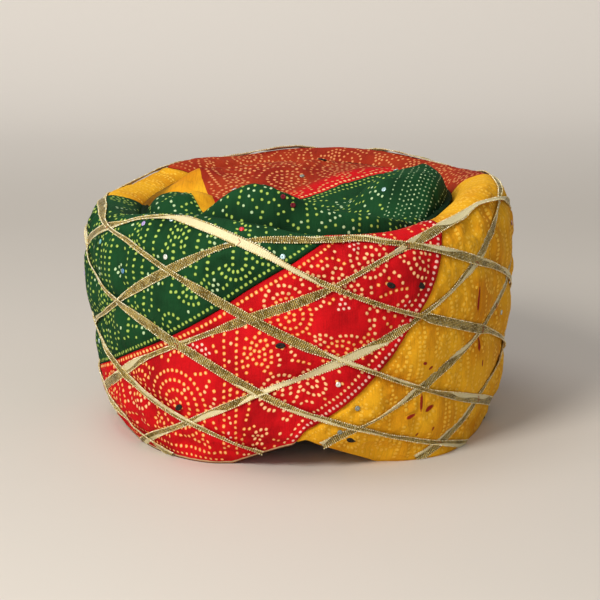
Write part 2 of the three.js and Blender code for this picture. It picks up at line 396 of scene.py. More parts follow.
# The printed cotton of each colour: its ground, its shade in folds, how pale a dot's core is.
cottons = {
    "red": {"ground": rgba(0.63, 0.004, 0.008), "deep": rgba(0.38, 0.001, 0.004), "core": 0.5},
    "faded": {"ground": rgba(0.40, 0.036, 0.009), "deep": rgba(0.27, 0.012, 0.005), "core": 0.15},
    "yellow": {"ground": rgba(0.86, 0.43, 0.014), "deep": rgba(0.66, 0.25, 0.005), "core": 0.0},
    "green": {"ground": rgba(0.008, 0.062, 0.017), "deep": rgba(0.003, 0.028, 0.007), "core": 0.2},
}
dotTints = {
    "orange": rgba(0.98, 0.36, 0.06),
    "peach": rgba(1.0, 0.50, 0.20),
    "pink": rgba(1.0, 0.56, 0.45),
    "lime": rgba(0.36, 0.52, 0.07),
    "mint": rgba(0.50, 0.68, 0.36),
    "straw": rgba(0.92, 0.52, 0.05),
    "sage": rgba(0.27, 0.42, 0.20),
    "wine": rgba(0.27, 0.006, 0.008),
    "rust": rgba(0.66, 0.15, 0.03),
    "washed": rgba(0.74, 0.24, 0.07),
}


cottonLook = {
    "selvedge": rgba(0.62, 0.52, 0.26),
    "hemLine": rgba(0.02, 0.05, 0.015),
    # Black: painted shade in the crown's crease, and the dark slubs and fibres of the yarn.
    "shade": rgba(0, 0, 0),
    "dotCore": rgba(1, 0.92, 0.62),
    "crownCore": 0.2,
    "patchScale": 34,
    "fadeFrom": (9, 24),  # mm behind the crown's border, where the red is worn
    "squareness": 2.5,  # of a dot, 2 being round
    "weave": {"Scale": 0.7, "Distortion": 0.8, "Detail": 1},
}


# Printed cotton. dotUv holds each dot's own corner-to-corner square, dotTint its colour.
def cottonMaterial(name, grounds):
    material, board = newMaterial(name)
    weaveUv = board.node("ShaderNodeUVMap", {"uv_map": "weaveUv"})
    objectAt = board.node("ShaderNodeTexCoord", out="Object")
    patch = board.ease(board.noise(objectAt, cottonLook["patchScale"], 3), 0.38, 0.72)
    fine = board.noise(weaveUv, 1.6, 3, 0.6)
    shades = [board.blend(patch, look["ground"], look["deep"]) for look in grounds]
    ground, core = shades[0], grounds[0]["core"]
    # The crown cloth shows three dyes. Its attribute holds the distance past each dye's border, and
    # then how much painted shade the crease by the wall gets.
    if len(grounds) > 1:
        redPast, yellowPast, paintedCreaseShade = board.split(board.field("dyeLinesAndPaintedShade", "Vector"))
        edge = (fine - 0.5) * 0.5
        red = board.ease(redPast + edge, -0.25, 0.25)
        yellow = board.ease(yellowPast + edge, -0.25, 0.25)
        wearAndPaintedLight = board.ease(redPast, *cottonLook["fadeFrom"])
        worn = board.blend(wearAndPaintedLight, cottons["red"]["ground"], shades[1])
        ground = board.blend(red, shades[0], board.blend(yellow, worn, shades[2]))
        # Painted shade: the cloth darkens towards black where it dips by the wall and tucks down
        # inside it, where the rim shades it.
        ground = board.blend(paintedCreaseShade * 0.7, ground, cottonLook["shade"])
        core = cottonLook["crownCore"]
    # Along the hem of a wall turn lie a cream selvedge and a dark line. hemUp is the height.
    else:
        hemUp = board.field("hemUp")
        cream = board.ease(hemUp, 0.4, 0.8) * (1 - board.ease(hemUp, 1.3, 1.7))
        dark = 1 - board.ease(hemUp, 0.3, 0.7)
        ground = board.blend(cream * 0.85, ground, cottonLook["selvedge"])
        ground = board.blend(dark * 0.8, ground, cottonLook["hemLine"])
    slubs = board.noise(board.stretched(weaveUv, (1.3, 0.10, 1.0)), 1.0, 3, 0.6)
    ground = board.blend(board.ease(slubs, 0.45, 0.75) * 0.22, ground, cottonLook["shade"])
    ground = board.blend(board.ease(fine, 0.6, 0.9) * 0.3, ground, cottonLook["shade"])
    x, y, _ = board.split(board.field("dotUv", "Vector"))
    wobble = board.noise(weaveUv, 0.8, 2)
    power = cottonLook["squareness"]
    square = x.math("ABSOLUTE") ** power + y.math("ABSOLUTE") ** power
    reach = square ** (1 / power) + (wobble - 0.5) * 0.5
    dot = 1 - board.ease(reach, 0.62, 0.95)
    centre = 1 - board.ease(reach, 0.1, 0.62)
    tint = board.field("dotTint", "Color")
    paler = board.blend(centre * core, tint, cottonLook["dotCore"])
    colour = board.blend(dot * 0.96, ground, paler)
    threads, wefts = [
        board.node("ShaderNodeTexWave", {"wave_type": "BANDS", "bands_direction": way},
                   {"Vector": weaveUv, **cottonLook["weave"]}) for way in "XY"]
    pucker = board.noise(weaveUv, 0.20, 3, 0.6)
    height = (threads + wefts) * 0.10 + dot * 0.4 + pucker * 2.2
    board.surface({"Base Color": colour, "Roughness": 0.78 - dot * 0.08,
                   "Specular IOR Level": 0.12}, height, 0.8, 0.0004)
    return material


cottonOf = {name: cottonMaterial(name + "Cotton", [look]) for name, look in cottons.items()}
cottonOf["crown"] = cottonMaterial("crownCotton", [cottons["green"], cottons["faded"],
                                                   cottons["yellow"]])
print("cotton ready")


# Where a ribbon runs: angle and height share at some degrees from its peak.
def ribbonPlace(index, away):
    peak, left, right = ribbonPeaks[index]
    angle = peak + away * np.where(away < 0, left, right)
    return angle, curve(ribbonAway, ribbonHeight, away)


# Lets a grid of cloth swell between the places that hold it, and returns how far it has moved.
swelling = {
    "frames": 20,
    "quality": 4,
    "mass": 0.0015,
    "stiffness": 12,
    "shear": 4,
    "bending": 0.15,
}


def swell(points, faces, held, pressure, growth):
    scene = bpy.context.scene
    mesh = bpy.data.meshes.new("swellGrid")
    mesh.from_pydata((points * mm).tolist(), [], faces)
    body = bpy.data.objects.new("swellGrid", mesh)
    scene.collection.objects.link(body)
    body.vertex_groups.new(name="held").add(np.flatnonzero(held).tolist(), 1.0, "REPLACE")
    modifier = body.modifiers.new("swell", "CLOTH")
    settings = modifier.settings
    settings.quality, settings.mass = swelling["quality"], swelling["mass"]
    settings.tension_stiffness = settings.compression_stiffness = swelling["stiffness"]
    settings.shear_stiffness = swelling["shear"]
    settings.bending_stiffness = swelling["bending"]
    settings.vertex_group_mass = "held"
    settings.use_pressure, settings.uniform_pressure_force = True, pressure
    settings.shrink_min = -growth
    settings.effector_weights.gravity = 0
    modifier.point_cache.frame_start, modifier.point_cache.frame_end = 1, swelling["frames"]
    for frame in range(1, swelling["frames"] + 1):
        scene.frame_set(frame)
    seen = body.evaluated_get(bpy.context.evaluated_depsgraph_get())
    swollen = bpy.data.meshes.new_from_object(seen)
    moved = pointsOf(swollen) / mm - points
    bpy.data.objects.remove(body)
    bpy.data.meshes.remove(swollen)
    scene.frame_set(1)
    far = np.percentile(np.linalg.norm(moved, axis=1), [50, 90, 99])
    print("cloth moved by", far.round(2), "mm,", int(held.sum()), "held")
    return moved


# Fades what stands out on the outside a little way down the inside.
def outsideShare(up):
    start, end = lap["fade"]
    return 1 - smooth(crestUp + start, crestUp + end, up)


# How far the padding stands out from the plain solid, kept as a grid round the wall.
padding = {
    "puff": 1.9,
    "puffReach": 13,  # mm from a ribbon to where it stands out fully
    "pressure": 4.0,
    "growth": 0.05,
    "most": 2.6,  # mm that the simulated cloth may move
    "ribbonHold": 2.7,  # mm either side of a ribbon's middle that it holds
    "seamHold": 1.6,
    "edgeHold": (1, 2),  # mm at the hem and at the crest
    "seat": 0.5,  # mm by which a ribbon presses the cloth in
    "seatReach": 2.6,
    # Flatter places: angle, mm up from the hem, reach round and up in mm, depth.
    "dents": [(270, 48, 75, 40, 3.4), (200, 134, 32, 16, 2.4), (238, 134, 40, 18, 2.6),
              (62, 6, 25, 14, 2.0)],
    "swell": 0.8,
    "swellLength": 42,
    "crease": 0.22,
    "creaseLength": 15,
    "wrinkle": 0.2,  # of the yellow cloth on the right
    "wrinkleLength": 4.6,
    "wrinkled": ((28, 55), (95, 110)),  # the angles where that cloth begins and ends
    "firmRim": (0.55, 14),  # the share that the rim loses, and the mm over which it does
}
gridDegree, gridUp = 1.0, 2.0
gridAngles = np.arange(0, 360, gridDegree)
gridUps = np.arange(0, crestUp + 20, gridUp)


def ribbonDistances(points):
    away = np.arange(ribbonAway[0], ribbonAway[-1], 0.6)
    lines = [surfacePoint(outerOut, *ribbonPlace(i, away)) for i in range(len(ribbonPeaks))]
    tree = kdtree.KDTree(len(lines) * len(away))
    for number, point in enumerate(np.concatenate(lines)):
        tree.insert(point, number)
    tree.balance()
    return np.array([tree.find(p)[2] for p in points])


# The wall's outside swells between its ribbons, its seams, its hem and its crest.
def wallSwelling(*grids):
    rows = int((gridUps <= crestUp).sum())
    angle, up, share, points, near = [grid[:, :rows] for grid in grids]
    seam = np.full(angle.shape, 99.0)
    for index in range(len(turnEdges)):
        away = np.mod(angle - edgeAngle(index, share) + 180, 360) - 180
        seam = np.minimum(seam, np.abs(away) * mmPerDegree)
    hem, crest = padding["edgeHold"]
    held = (near < padding["ribbonHold"]) | (seam < padding["seamHold"])
    held |= (up < hem) | (up > crestUp - crest)
    columns = len(angle)
    faces = [[i * rows + j, (i + 1) % columns * rows + j, (i + 1) % columns * rows + j + 1,
              i * rows + j + 1] for i in range(columns) for j in range(rows - 1)]
    moved = swell(points.reshape(-1, 3), faces, held.ravel(), padding["pressure"],
                  padding["growth"]).reshape(points.shape)
    normal = steadyNormal(outerOut, angle, heightAt(angle, share))
    out = np.zeros(grids[0].shape)
    out[:, :rows] = (moved * normal).sum(-1)
    return padding["most"] * np.tanh(out / padding["most"])


def makeReliefGrid():
    angle, up = np.meshgrid(gridAngles, gridUps, indexing="ij")
    share = np.minimum(partOfUp(up), 1)
    height = heightAt(angle, share)
    points = surfacePoint(outerOut, angle, height)
    near = ribbonDistances(points.reshape(-1, 3)).reshape(angle.shape)
    puff = wallSwelling(angle, up, share, points, near)
    relief = puff - padding["seat"] * np.exp(-(near / padding["seatReach"]) ** 2)
    relief += padding["swell"] * wallNoise(angle, up, padding["swellLength"], 3)
    relief += padding["crease"] * wallNoise(angle, up, padding["creaseLength"], 8)
    begins, ends = padding["wrinkled"]
    yellow = smooth(*begins, angle) * (1 - smooth(*ends, angle))
    ripples = np.sin(angle * mmPerDegree * 2 * math.pi / padding["wrinkleLength"]
                     + 2.5 * wallNoise(angle, up, 24, 12))
    relief += padding["wrinkle"] * ripples * yellow * (0.5 + 0.5 * wallNoise(angle, up, 20, 5))
    relief -= relief[up < crestUp].mean()
    # The rim stays as firm as the rolled cloth below it.
    loss, over = padding["firmRim"]
    relief *= 1 - loss * smooth(crestUp - over, crestUp, up)
    for middle, height, wide, tall, depth in padding["dents"]:
        across = (np.mod(angle - middle + 180, 360) - 180) * mmPerDegree / wide
        relief -= depth * np.exp(-across ** 2 - ((up - height) / tall) ** 2)
    return relief * smooth(-1, 7, up)


reliefGrid = makeReliefGrid()


def wallRelief(angle, up):
    x = np.mod(angle, 360) / gridDegree
    y = np.clip(up / gridUp, 0, len(gridUps) - 1)
    return readGrid(reliefGrid, x, y, True) * outsideShare(up)


print("padding shaped")


# Dots of a print on a flat cloth: across, up, turn, half length, half width and tint.
class DotSheet:
    apart = 2.6  # mm
    cell = 5  # mm, of the grid that finds near dots

    def __init__(self, inside):
        self.inside = inside
        self.dots = []
        self.near = {}

    # A dot's place for keeping apart, its turn and its half sizes on the flat cloth.
    def fit(self, across, up, turn, long, half):
        return (across, up, 0.0), turn, long, half

    def measure(self, line):
        return lengthAlong(line)

    def keepClear(self, across, up, point, need):
        place = int(across // self.cell), int(up // self.cell)
        self.near.setdefault(place, []).append((point, need))

    def place(self, across, up, turn=0.0, half=1.1, tint="orange", long=None, room=None):
        if not self.inside(across, up, (long or half) + 0.6):
            return False
        room = self.apart if room is None else room
        point, turn, long, half = self.fit(across, up, turn, long or half, half)
        column, row = int(across // self.cell), int(up // self.cell)
        for i in range(column - 1, column + 2):
            for j in range(row - 1, row + 2):
                for other, need in self.near.get((i, j), ()):
                    if math.dist(point, other) < max(need, room):
                        return False
        self.keepClear(across, up, point, min(room, self.apart))
        # A long stroke keeps other dots away along all of its length.
        for step in range(2, int(long) + 1, 2):
            for way in (-step, step):
                x, y = across + way * math.cos(turn), up + way * math.sin(turn)
                self.keepClear(x, y, (x, y, 0.0), half + 1.3)
        self.dots.append((across, up, turn, long, half, dotTints[tint]))
        return True

    # Dots at an even pitch along a line of points.
    def row(self, line, pitch=3.3, half=1.1, tint="orange", closed=False, tall=1.0, room=None):
        line = np.asarray(line, float)
        if closed:
            line = np.concatenate([line, line[:1]])
        along = self.measure(line)
        count = int(round(along[-1] / pitch))
        for i in range(count):
            at = (i + 0.5) * along[-1] / count
            x, y = np.interp(at, along, line[:, 0]), np.interp(at, along, line[:, 1])
            k = min(max(int(np.searchsorted(along, at)), 1), len(line) - 1)
            turn = math.atan2(*(line[k] - line[k - 1])[::-1]) + math.pi / 2
            self.place(float(x), float(y), turn, half, tint, half * tall, room)


def circle(across, up, radius, start=0, end=360, count=48):
    a = np.radians(np.linspace(start, end, count, endpoint=abs(end - start) < 359))
    return np.stack([across + radius * np.cos(a), up + radius * np.sin(a)], -1)


# A mango shape: round below, with a tip that leans over.
def mango(across, up, size, turn=0, lean=0.35, count=60):
    t = np.linspace(0, 2 * math.pi, count, endpoint=False)
    x = 0.62 * size * np.sin(t) * np.sin(t / 2) ** 1.3
    y = -size * np.cos(t)
    x = x + lean * size * np.maximum(0, y / size) ** 2
    a = math.radians(turn)
    return np.stack([across + x * math.cos(a) - y * math.sin(a),
                     up + x * math.sin(a) + y * math.cos(a)], -1)


# Seven or so dots in a wedge.
def wedge(sheet, across, up, turn, tint, pitch=3.0, half=1.0, rows=(1, 2, 3)):
    a = math.radians(turn)
    for row, count in enumerate(rows):
        for i in range(count):
            x, y = (i - (count - 1) / 2) * pitch, (len(rows) / 2 - row) * pitch * 0.9
            sheet.place(across + x * math.cos(a) - y * math.sin(a),
                        up + x * math.sin(a) + y * math.cos(a), a, half, tint)


# Dotted tendrils that wander into whatever room is left.
def tendrils(sheet, box, count, seed, pitch, half, tints, room, tall=1.0):
    rng = np.random.default_rng(seed)
    bend, sway = 0.16, 0.05
    for _ in range(count):
        x, y = rng.uniform(box[0], box[1]), rng.uniform(box[2], box[3])
        turn, curl = rng.uniform(0, 2 * math.pi), rng.uniform(-bend, bend)
        tint = tints[int(rng.integers(len(tints)))]
        for _ in range(int(rng.integers(5, 15))):
            if not sheet.place(x, y, turn + math.pi / 2, half, tint, half * tall, room):
                break
            curl += rng.uniform(-sway, sway)
            turn += curl * pitch
            x, y = x + pitch * math.cos(turn), y + pitch * math.sin(turn)


# Cuts a flat outline into triangles, with a square of its own for each dot. The square is a
# little larger than the dot, and the plain points keep clear of it.
cellScale, cellClear = 1.12, 1.62


def cutFlat(outline, filler, dots):
    points = [tuple(p) for p in outline]
    faces = [list(range(len(outline)))]
    for across, up, turn, long, half, _ in dots:
        c, s = math.cos(turn), math.sin(turn)
        cell = []
        for sx, sy in ((-1, -1), (1, -1), (1, 1), (-1, 1)):
            x, y = sx * long * cellScale, sy * half * cellScale
            cell.append(len(points))
            points.append((across + x * c - y * s, up + x * s + y * c))
        faces.append(cell)
    if dots:
        places = kdtree.KDTree(len(dots))
        for i, dot in enumerate(dots):
            places.insert((dot[0], dot[1], 0), i)
        places.balance()
        filler = [p for p in filler if clearOf(p, places, dots)]
    points += [tuple(p) for p in filler]
    flat, _, triangles, origins, _, owners = geometry.delaunay_2d_cdt(
        [Vector(p) for p in points], [], faces, 1, 1e-6)
    made = {old: number for number, origin in enumerate(origins) for old in origin}
    ownerOf = [max(owner) - 1 if owner else -1 for owner in owners]
    return np.array([tuple(p) for p in flat]), [list(t) for t in triangles], made, ownerOf


def clearOf(place, places, dots):
    _, i, away = places.find((place[0], place[1], 0))
    return away > max(dots[i][3], dots[i][4]) * cellClear


# Writes the dots' squares and tints on the corners of a cut cloth.
def printDots(mesh, triangles, flat, dots, ownerOf):
    corners = np.array(triangles).ravel()
    owner = np.repeat(ownerOf, 3)
    beyond = 9.0  # outside every dot
    spots = np.full((len(mesh.loops), 3), beyond)
    tints = np.zeros((len(mesh.loops), 4))
    tints[:, 3] = 1
    if dots:
        table = np.array([dot[:5] for dot in dots])[owner]
        delta = flat[corners] - table[:, :2]
        c, s = np.cos(table[:, 2]), np.sin(table[:, 2])
        x = (delta[:, 0] * c + delta[:, 1] * s) / table[:, 3]
        y = (delta[:, 1] * c - delta[:, 0] * s) / table[:, 4]
        inDot = owner >= 0
        count = len(corners)
        spots[:count][inDot] = np.stack([x, y, 0 * x], -1)[inDot]
        tints[:count][inDot] = np.array([dot[5] for dot in dots])[owner][inDot]
    addField(mesh, "dotUv", spots, "FLOAT_VECTOR", "CORNER")
    addField(mesh, "dotTint", tints, "FLOAT_COLOR", "CORNER")


# One turn of the wall: its skin is cut flat and wrapped round the padding.
turnLook = {
    "step": 2.0,  # mm between points outside
    "innerStep": 6.0,
    "cutSlant": 0.72,  # the cut edges slant, so a distance across them is this much shorter
    "roll": 0.8,  # mm by which a cut edge rolls in
    "rollReach": 0.9,
    "liftReach": 4.5,
    "pleat": (0.5, 6.5, 1.3),  # along the yellow turns' first edge: depth, place and reach
    "crestBlend": 0.985,  # height share from which the skin stands up from the crest
}
turnPieces = [
    {"name": "redBrowTurn", "node": "turn_red_brow", "cotton": "red", "lift": (0.0, 0.8)},
    {"name": "yellowSideTurn", "node": "turn_yellow_side", "cotton": "yellow", "lift": (-0.5, 0.7)},
    {"name": "redNapeTurn", "node": "turn_red_nape", "cotton": "faded", "lift": (-0.4, 0.3)},
    {"name": "yellowNapeTurn", "node": "turn_yellow_nape", "cotton": "yellow", "lift": (0.3, -0.4)},
    {"name": "greenSideTurn", "node": "turn_green_side", "cotton": "green", "lift": (0.5, 0.0)},
]
halfGap = math.degrees(wall["turnGap"] / (wall["headWidth"] + 2 * wall["thickness"]))
upTable = np.linspace(0, wholeUp, 400)


def turnSides(index, up):
    part = partOfUp(up)
    share = np.where(part <= 1, part, 2 - part)
    left = (edgeAngle(index, share) + halfGap) * mmPerDegree
    right = (edgeAngle(index + 1, share) - halfGap) * mmPerDegree
    return left, right


def insideTurn(index):
    left, right = turnSides(index, upTable)

    def inside(across, up, margin):
        if up < margin or up > crestUp + lap["print"]:
            return False
        sideways = margin / turnLook["cutSlant"]
        return (np.interp(up, upTable, left) + sideways < across
                < np.interp(up, upTable, right) - sideways)

    return inside


def evenLine(start, end, step):
    return np.linspace(start, end, max(2, int(round(abs(end - start) / step)) + 1))


# Goes round the turn's outline: hem, right edge up and down inside, inner hem, left edge.
def turnOutline(index):
    outerUps = evenLine(0, crestUp, turnLook["step"])
    shares = partOfUp(outerUps)
    shares[-1] = 1
    innerUps = upOfPart(2 - shares)
    lefts = (edgeAngle(index, shares) + halfGap) * mmPerDegree
    rights = (edgeAngle(index + 1, shares) - halfGap) * mmPerDegree
    hem = evenLine(lefts[0], rights[0], turnLook["step"])
    count, last = len(shares), len(hem) - 1
    outline = [(x, 0.0) for x in hem]
    outline += [(rights[i], outerUps[i]) for i in range(1, count)]
    outline += [(rights[i], innerUps[i]) for i in range(count - 2, -1, -1)]
    outline += [(x, wholeUp) for x in hem[-2::-1]]
    outline += [(lefts[i], innerUps[i]) for i in range(1, count)]
    outline += [(lefts[i], outerUps[i]) for i in range(count - 2, 0, -1)]
    innerRight = last + 2 * count - 2
    leftInner = innerRight + last
    rightLoop = [last + i for i in range(2 * count - 1)]
    leftLoop = [leftInner + i for i in range(2 * count - 2)] + [0]
    hemOuter, hemInner = list(range(last + 1)), [innerRight + i for i in range(last + 1)]
    return outline, rightLoop, leftLoop, hemOuter, hemInner


def turnFiller(index):
    filler, up, row = [], turnLook["step"] * 0.75, 0
    while up < wholeUp - 2:
        gap = turnLook["step"] if up < crestUp + lap["fine"] else turnLook["innerStep"]
        left, right = turnSides(index, up)
        across = float(left) + gap * (0.9 if row % 2 else 1.4)
        while across < float(right) - gap * 0.8:
            filler.append((across, up))
            across += gap
        up += gap * 0.866
        row += 1
    return filler


def wrapTurn(index, flat):
    part = partOfUp(flat[:, 1])
    share = np.where(part <= 1, part, 2 - part)
    angle = flat[:, 0] / mmPerDegree
    height = heightAt(angle, share)
    outside = part <= 1
    points = np.where(outside[:, None], surfacePoint(outerOut, angle, height),
                      surfacePoint(innerOut, angle, height))
    outer = steadyNormal(outerOut, angle, height)
    inner = -steadyNormal(innerOut, angle, height)
    over = smooth(turnLook["crestBlend"], 1, share)[:, None]
    normal = np.where(outside[:, None], outer, inner) * (1 - over) + [0, 0, 1] * over
    normal /= np.linalg.norm(normal, axis=1, keepdims=True)
    left, right = turnSides(index, flat[:, 1])
    slant = turnLook["cutSlant"]
    fromFirst, fromLast = (flat[:, 0] - left) * slant, (right - flat[:, 0]) * slant
    lift = wallRelief(angle, flat[:, 1])
    shown = outsideShare(flat[:, 1])
    for away, edgeLift in zip((fromFirst, fromLast), turnPieces[index]["lift"]):
        raised = edgeLift * np.exp(-(away / turnLook["liftReach"]) ** 2)
        rolled = turnLook["roll"] * np.exp(-(away / turnLook["rollReach"]) ** 2)
        lift = lift + (raised - rolled) * shown
    if turnPieces[index]["cotton"] == "yellow":
        depth, at, reach = turnLook["pleat"]
        lift = lift - depth * np.exp(-((fromFirst - at) / reach) ** 2) * shown
    points = points + normal * lift[:, None]
    points[:, 2] = np.maximum(points[:, 2], 0)
    return points


def makeTurn(index, dots):
    look = turnPieces[index]
    outline, rightLoop, leftLoop, hemOuter, hemInner = turnOutline(index)
    flat, triangles, made, ownerOf = cutFlat(outline, turnFiller(index), dots)
    points = wrapTurn(index, flat)
    faces = [list(t) for t in triangles]
    for loop in (rightLoop, leftLoop):
        count = (len(loop) + 1) // 2
        for i in range(count - 1):
            j = 2 * count - 2 - i
            ring = [made[loop[k]] for k in (i, j, j - 1, i + 1)]
            faces.append(ring[:3] if ring[2] == ring[3] else ring)
    last = len(hemOuter) - 1
    for i in range(last):
        faces.append([made[k] for k in (hemOuter[i + 1], hemOuter[i], hemInner[last - i],
                                        hemInner[last - i - 1])])
    smoothFaces = np.arange(len(faces)) < len(triangles)
    piece = newPiece(look["name"], points * mm, faces, cottonOf[look["cotton"]], smoothFaces)
    mesh = piece.data
    printDots(mesh, triangles, flat, dots, ownerOf)
    # A yellow turn has no selvedge, so its height starts above it.
    addField(mesh, "hemUp", flat[:, 1] + (5 if look["cotton"] == "yellow" else 0), "FLOAT")
    addUv(mesh, "weaveUv", flat)
    span = max(np.ptp(flat[:, 0]), wholeUp)
    addUv(mesh, "OFBake", (flat - [flat[:, 0].min(), 0]) / span * 0.98 + 0.01)
    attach(piece, "root")
    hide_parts(look["node"])
    print(look["name"], len(faces), "faces,", len(dots), "dots")
    return piece


# A line that keeps a distance in mm from a turn's first edge, or from its last if negative.
def besideEdge(index, away):
    ups = np.linspace(float(upOfPart(0)), float(upOfPart(1.05)), 80)
    left, right = turnSides(index, ups)
    across = (left if away >= 0 else right) + away / turnLook["cutSlant"]
    return np.stack([across, ups], -1)


def spot(angle, share):
    return angle * mmPerDegree, float(upOfPart(share))


def spots(*places):
    return [spot(*place) for place in places]


def turnBox(index):
    left, right = turnSides(index, np.linspace(0, crestUp + lap["print"], 60))
    return left.min(), right.max(), 0, crestUp + lap["print"]


# The red print's own figures near the brow: kind, angle, height share, sizes, turn, tint.
redFigures = [
    ("rings", -33.5, 0.246, (3.0, 8.2, 13.4, 18.4), 0, "orange"),
    ("wedge", -24.5, 0.48, (1, 2, 3), 25, "pink"),
    ("wedge", -20.0, 0.135, (1, 2, 3), -10, "pink"),
    ("wedge", 15.0, 0.962, (2, 3, 2), 20, "pink"),
    ("mango", -9.0, 0.46, (4, 8.5, 13), 20, "orange"),
    ("mango", -3.5, 0.20, (3.5, 8), -150, "peach"),
    ("rings", -2.0, 0.63, (2.5, 7, 11.5), 0, "orange"),
    ("mango", 9.0, 0.47, (3.5, 8, 12.5), -35, "orange"),
    ("rings", 3.5, 0.31, (3, 7.5), 0, "peach"),
    ("mango", 13.0, 0.78, (4, 8.5, 13), 60, "peach"),
    ("wedge", 27.5, 0.90, (3, 2, 1), 5, "peach"),
    ("mango", 18.5, 0.64, (3.5, 8), 10, "peach"),
    ("mango", -48.0, 0.30, (4, 9, 14), -25, "orange"),
    ("rings", -62.0, 0.20, (3, 8, 13), 0, "orange"),
    ("mango", -82.0, 0.16, (4, 9, 14), 30, "peach"),
    ("mango", -103.0, 0.09, (4, 9), 0, "orange"),
]


def arrow(x, y, size, _):
    return [(x - 8, y + size - 6), (x, y + size), (x + 8, y + size - 6)]


figureLines = {
    "rings": lambda x, y, size, turn: circle(x, y, size),
    "mango": mango,
    "garland": lambda x, y, size, turn: circle(x, y, size, 200 + turn, 340 + turn),
    "arrow": arrow,
}


def drawFigures(sheet, figures, pitch, half, tall=1.0):
    for kind, angle, share, sizes, turn, tint in figures:
        x, y = spot(angle, share)
        if kind == "wedge":
            wedge(sheet, x, y, turn, tint, rows=sizes)
            continue
        for size in sizes:
            line = figureLines[kind](x, y, size, turn)
            sheet.row(line, pitch, half, tint, kind in ("rings", "mango"), tall)


# Figures repeated over the rest of a turn, staggered row by row.
def scatterFigures(index, across, up, kinds, seed):
    rng = np.random.default_rng(seed)
    x0, x1, _, y1 = turnBox(index)
    figures = []
    for row in range(int(y1 / up) + 1):
        x = x0 + (row % 2) * across / 2
        while x < x1:
            kind, sizes, tint = kinds[int(rng.integers(len(kinds)))]
            share = float(partOfUp((row + 0.5) * up + rng.uniform(-3, 3)))
            figures.append((kind, (x + rng.uniform(-4, 4)) / mmPerDegree, share, sizes,
                            float(rng.uniform(-50, 50)), tint))
            x += across
    return figures


def printRed(sheet, index):
    brow = index == 0
    orange, peach, pink = ("orange", "peach", "pink") if brow else ("washed", "washed", "rust")
    sheet.row(besideEdge(index, 4.2), 3.15, 1.2, orange)
    sheet.row(besideEdge(index, -2.7), 3.1, 1.05, pink)
    sheet.row(besideEdge(index, -6.6), 3.2, 1.0, peach)
    if brow:
        sheet.row(spots((-19, 0.60), (-19, 0.45), (-19.5, 0.31), (-21.5, 0.04)), 3.3, 1.15)
        sheet.row(spots((-15.5, 0.58), (-15.7, 0.45), (-16, 0.3), (-18, 0.03)), 3.3, 1.15)
        sheet.row(spots((-60, 0.075), (-40, 0.06), (-22, 0.05)), 3.4, 1.1)
        sheet.row(spots((-60, 0.045), (-40, 0.03), (-22, 0.02)), 3.4, 1.0)
        sheet.row(circle(*spot(8.5, 0.845), 9, 30, 165), 3.4, 1.15)
        drawFigures(sheet, redFigures, 3.2, 1.22)
    kinds = [("mango", (4, 8.2, 12.4), orange), ("rings", (2.5, 6.7, 11), peach),
             ("wedge", (1, 2, 3), pink), ("mango", (4, 8.2), peach)]
    drawFigures(sheet, scatterFigures(index, 34, 26, kinds, 11 + index), 3.2, 1.2)
    tendrils(sheet, turnBox(index), 1700, 5 + index, 3.2, 1.15, [orange, peach, orange], 3.15)


greenFigures = [
    ("garland", -27.0, 0.80, (7, 10.5), 0, "lime"),
    ("garland", -37.5, 0.61, (8, 11.5), 10, "lime"),
    ("wedge", -21.5, 0.745, (2, 3, 2), 15, "mint"),
    ("wedge", -44.0, 0.53, (1, 2, 1), 0, "mint"),
    ("garland", -16.0, 0.87, (7, 11), 5, "lime"),
    ("arrow", -33.0, 0.93, (0, 4, 8), 0, "lime"),
    ("wedge", -11.0, 0.93, (2, 2, 1), -10, "mint"),
    ("rings", -63.0, 0.60, (3, 6.5, 10), 0, "lime"),
]
# The upright rows: how many, where they start, how far apart, and how low they reach where.
greenRows = {
    "count": 46,
    "start": 196,
    "apart": 3.35,
    "top": 0.99,
    "angle": [265, 300, 322, 352],
    "low": [0, 0.33, 0.66, 0.9],
}


def printGreen(sheet, index):
    sheet.row(besideEdge(index, -3.9), 3.0, 1.05, "lime")
    figures = [(kind, angle + 360, *rest) for kind, angle, *rest in greenFigures]
    drawFigures(sheet, figures, 3.1, 0.98, 1.2)
    # Upright rows of dots, as the cloth lies in straight folds on this side.
    for number in range(greenRows["count"]):
        if number % 5 == 3:
            continue
        angle = greenRows["start"] + number * greenRows["apart"]
        low = float(np.interp(angle, greenRows["angle"], greenRows["low"]))
        bend = 1.6 * math.sin(number * 1.7)
        line = spots(*[(angle + bend * (share - low), share) for share in
                       np.linspace(low, greenRows["top"], 12)])
        sheet.row(line, 3.3, 0.95, "lime", tall=1.25, room=3.0)
    kinds = [("garland", (7, 10.5), "lime"), ("wedge", (1, 2, 3), "mint"),
             ("rings", (3, 6.5), "lime"), ("arrow", (0, 4), "lime")]
    drawFigures(sheet, scatterFigures(index, 28, 22, kinds, 51), 3.1, 0.98, 1.15)
    tendrils(sheet, turnBox(index), 1400, 52, 3.1, 0.92, ["lime", "lime", "mint"], 3.2, tall=1.2)


